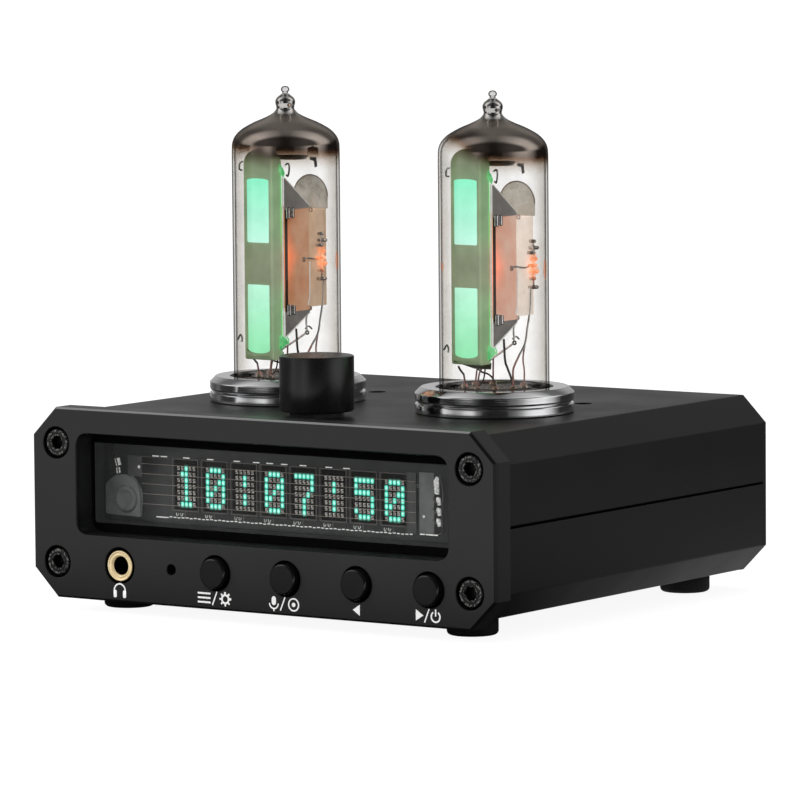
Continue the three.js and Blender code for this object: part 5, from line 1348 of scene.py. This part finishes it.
blank("glow_haze")
facing = add("LayerWeight", {"Blend": 0.5}, out=1)
share = maths("SUBTRACT", 1.0, facing) ** 1.6 * span(noise(millimetres(), 0.5), 0.3, 0.7, 0.3, 0.7)
glow_haze = surface(blended(share, add("BsdfTransparent", {"Color": (1, 1, 1)}),
                            add("Emission", {"Color": (1.0, 0.36, 0.16), "Strength": 1.0})))
reds = leads((0.17, (-5.66, 1.84, 3.2), (-5.4, 1.9, 5.2), (-4.3, 1.0, 8.6)),
             (0.18, (0, -5.95, 3.2), (0.5, -6.3, 4.8), (0.9, -6.5, 6.0), (1.6, -6.6, 7.2)),
             (0.17, (-3.5, 4.81, 3.2), (-3.4, 4.7, 6), (-3.0, 4.2, 9)),
             (0.18, (-3.5, -4.81, 3.2), (-3.4, -5.2, 4.4), (-3.2, -5.8, 5.6)),
             (0.17, (3.6, 5.3, 11), (3.6, 4.6, 8.1), (4.6, 3.5, 6), (5.66, 1.84, 3.2)),
             (0.2, (3.6, 3.1, 8.7), (4.4, 0, 6.5), (5.5, -1.7, 4.4), (5.66, -1.84, 3.2)))
darks = leads((0.2, (-3.2, -5.8, 5.6), (-3.0, -7.2, 6.5), (-2.7, -8.3, 7.3)),
              (0.18, (3.5, -4.81, 3.2), (3.3, -5.3, 4.9), (2.6, -6.0, 5.9), (1.4, -6.4, 6.3), (0.6, -6.6, 6.9)),
              (0.22, (3.5, -1.9, 12.4), (3.5, -1.5, 8.3), (3.6, -0.9, 6.8), (4.7, -1.3, 5.0), (5.4, -1.6, 3.2)),
              (0.15, (0, -5.95, 3.2), (0.9, -5.2, 4.6), (1.0, -4.6, 7.0)))
greys = leads((0.2, (3.6, 7.4, 21.5), (3.6, 7.1, 17.4), (3.6, 6.2, 14), (3.6, 5.3, 11), (3.6, 3.1, 8.7)),
              (0.2, (3.4, -6.6, 8.7), (3.4, -2.0, 10.1), (3.4, 1.3, 11.2)),
              (0.18, (3.5, 1.7, 11.5), (3.45, 1.7, 14.4), (3.5, 3.3, 16.4)),
              (0.16, (3.5, 1.2, 12.2), (3.5, 2.3, 12.6), (3.5, 3.4, 12.0)),
              (0.2, (3.9, 0.2, 25.9), (3.9, 1.5, 26.1), (3.9, 5.0, 25.7), (3.9, 7.0, 26.1)),
              (0.18, (-4.7, -8, 45.4), (-5.3, -8, 45.1), (-5.5, -8, 44.3), (-5.4, -8, 43.8), (-4.8, -8, 43.7)),
              (0.18, (-6.3, -8, 10.3), (-5.6, -8, 11.3), (-5.2, -8, 10.6), (-5.3, -8, 9.9)),
              (0.18, (3.6, -5.2, 44.8), (3.6, -4.2, 45.0), (3.6, -3.9, 44.0), (3.6, -4.3, 42.6), (3.6, -4.9, 42.8)))
greys += [eyelet((3.5, 1.8, 11.4)), eyelet((3.9, 0.2, 25.9))]
post = leads((0.26, (3.6, 2.6, 25.4), (3.6, 2.5, 21.0), (3.6, 2.4, 18.6), (3.6, 1.9, 16.8)),
             (0.12, (3.75, -5.9, 15.6), (3.75, -5.9, 11.2)))
column = [eyelet((4.2, y, z), "z", size) for y, z, size in (
    (7.2, 30.7, 0.75), (7.6, 29.4, 1.15), (6.8, 28.5, 0.9), (7.7, 27.2, 0.8), (7.2, 26.0, 1.15), (7.8, 24.8, 1.0),
    (7.2, 23.5, 0.75), (7.4, 21.8, 1.15))]
column += leads((0.2, (4.3, 7.3, 30.8), (4.3, 7.7, 27.0), (4.3, 7.4, 24.0), (4.3, 7.5, 21.4)),
                (0.14, (4.6, 6.6, 30.0), (4.6, 7.0, 26.8), (4.6, 6.7, 24.2)))
edge = np.array([(-3.1, -9.0, 7.6), (0.9, -8.2, 6.4), (3.3, -6.3, 6.2), (3.2, -6.0, 7.4), (-4.0, -8.7, 8.4)])
caps = np.array([[0, 1, 2, 2], [0, 2, 3, 3], [0, 3, 4, 4]])
skirt = np.concatenate([edge, edge + (0, 0.25, 0)]), np.concatenate([quads(2, 5), caps, caps[:, ::-1] + 5])
flaps = [sheet_x(flap, 3.5, 0.25) for flap in (
    [(-7.6, 8.7), (-6.2, 9.1), (-5.0, 10.0), (-5.6, 10.9), (-7.4, 11.5)],
    [(-7.3, 43.6), (-6.0, 42.4), (-5.6, 43.2), (-6.2, 44.2), (-7.2, 45.0)])]
flaps += leads((0.12, (3.7, -5.2, 11.0), (3.7, -4.7, 10.2), (3.7, -5.0, 9.5)))
# the left tube's column stands nearer and its skirt higher; a reflected spot is on the right one only
for side, away, raised in (("left", -1.5, 1.2), ("right", 0.0, 0.0)):
    spots = [haze((4.3, 7.3 + away, 27.6), 0.9, 1.1), haze((4.3, 7.4 + away, 25.2), 1.1, 1.4),
             haze((8.15, 5.6, 25.5), 0.4, 2.0)]
    spots += [haze((-8.3, -5.4, 26.2), 0.35, 0.9)] if side == "right" else []
    embers = ember(f"ember_{side}", seat[side], tubes[side][1] + away)
    blank(f"clip_glow_{side}")
    light = mixed(span(noise(millimetres(), 0.9, 3.0), 0.35, 0.65), paint(60, 190, 96), paint(150, 246, 170))
    clip_glow = surface(principled(paint(70, 110, 76), 0.4, glow=dimmed(light, 0.7)))
    on_tube(side, "tube_leads_copper_*", reds, copper, "copper_wire")
    on_tube(side, "tube_leads_dark_*", darks, dark_lead, "copper_wire")
    on_tube(side, "tube_leads_grey_*", greys, grey_lead, "electrode_metal")
    on_tube(side, "tube_heater_post_*", post, glowing_rod_white, "electrode_metal")
    on_tube(side, "tube_ember_column_*", column, embers, "cathode_glow", shift=(0, away, 0))
    on_tube(side, "tube_glow_haze_*", spots, glow_haze, "cathode_glow")
    on_tube(side, "tube_skirt_*", skirt, skirt_olive, "electrode_metal", shift=(0, 0, lift[side] + raised))
    on_tube(side, "tube_lit_clips_*", flaps, clip_glow, "screen_phosphor")

# %% [markdown]
# ## Parts that keep their solid shape
# Boards, switches, sockets and trimmers already have their right shape, so they only get a finish:
# green solder mask, moulded plastics, a dull plated metal and a dark ceramic. The small solids
# move with the bodies that the frame names for them, so nothing has to be said about their motion.
# %% Finishes of the solids that stay
board_green = finish("circuit_board", paint(22, 60, 38), paint(36, 84, 52), (0.4, 0.5), patch=0.5, grain=2.0)
dress(["display_board", "main_board", "tube_board"], board_green)
dress([f"switch_{i}" for i in (1, 2, 3, 4)] + ["headphone_socket", "line_socket"], black_plastic)
dress(["display_substrate"], dark_glass)
dress(["microphone", "power_inlet", "potentiometer", "potentiometer_shaft"], dull_steel)
dress(["potentiometer_nut"], black_steel)
for name, look, dark, pale in (("trimmer", "blue_plastic", (30, 70, 140), (50, 100, 175)),
                               ("trimmer_rotor", "white_plastic", (205, 200, 188), (225, 220, 208)),
                               ("tube_socket", "dark_ceramic", (30, 29, 27), (52, 50, 46))):
    dress([f"{name}_{side}" for side in tubes], finish(look, paint(*dark), paint(*pale)))
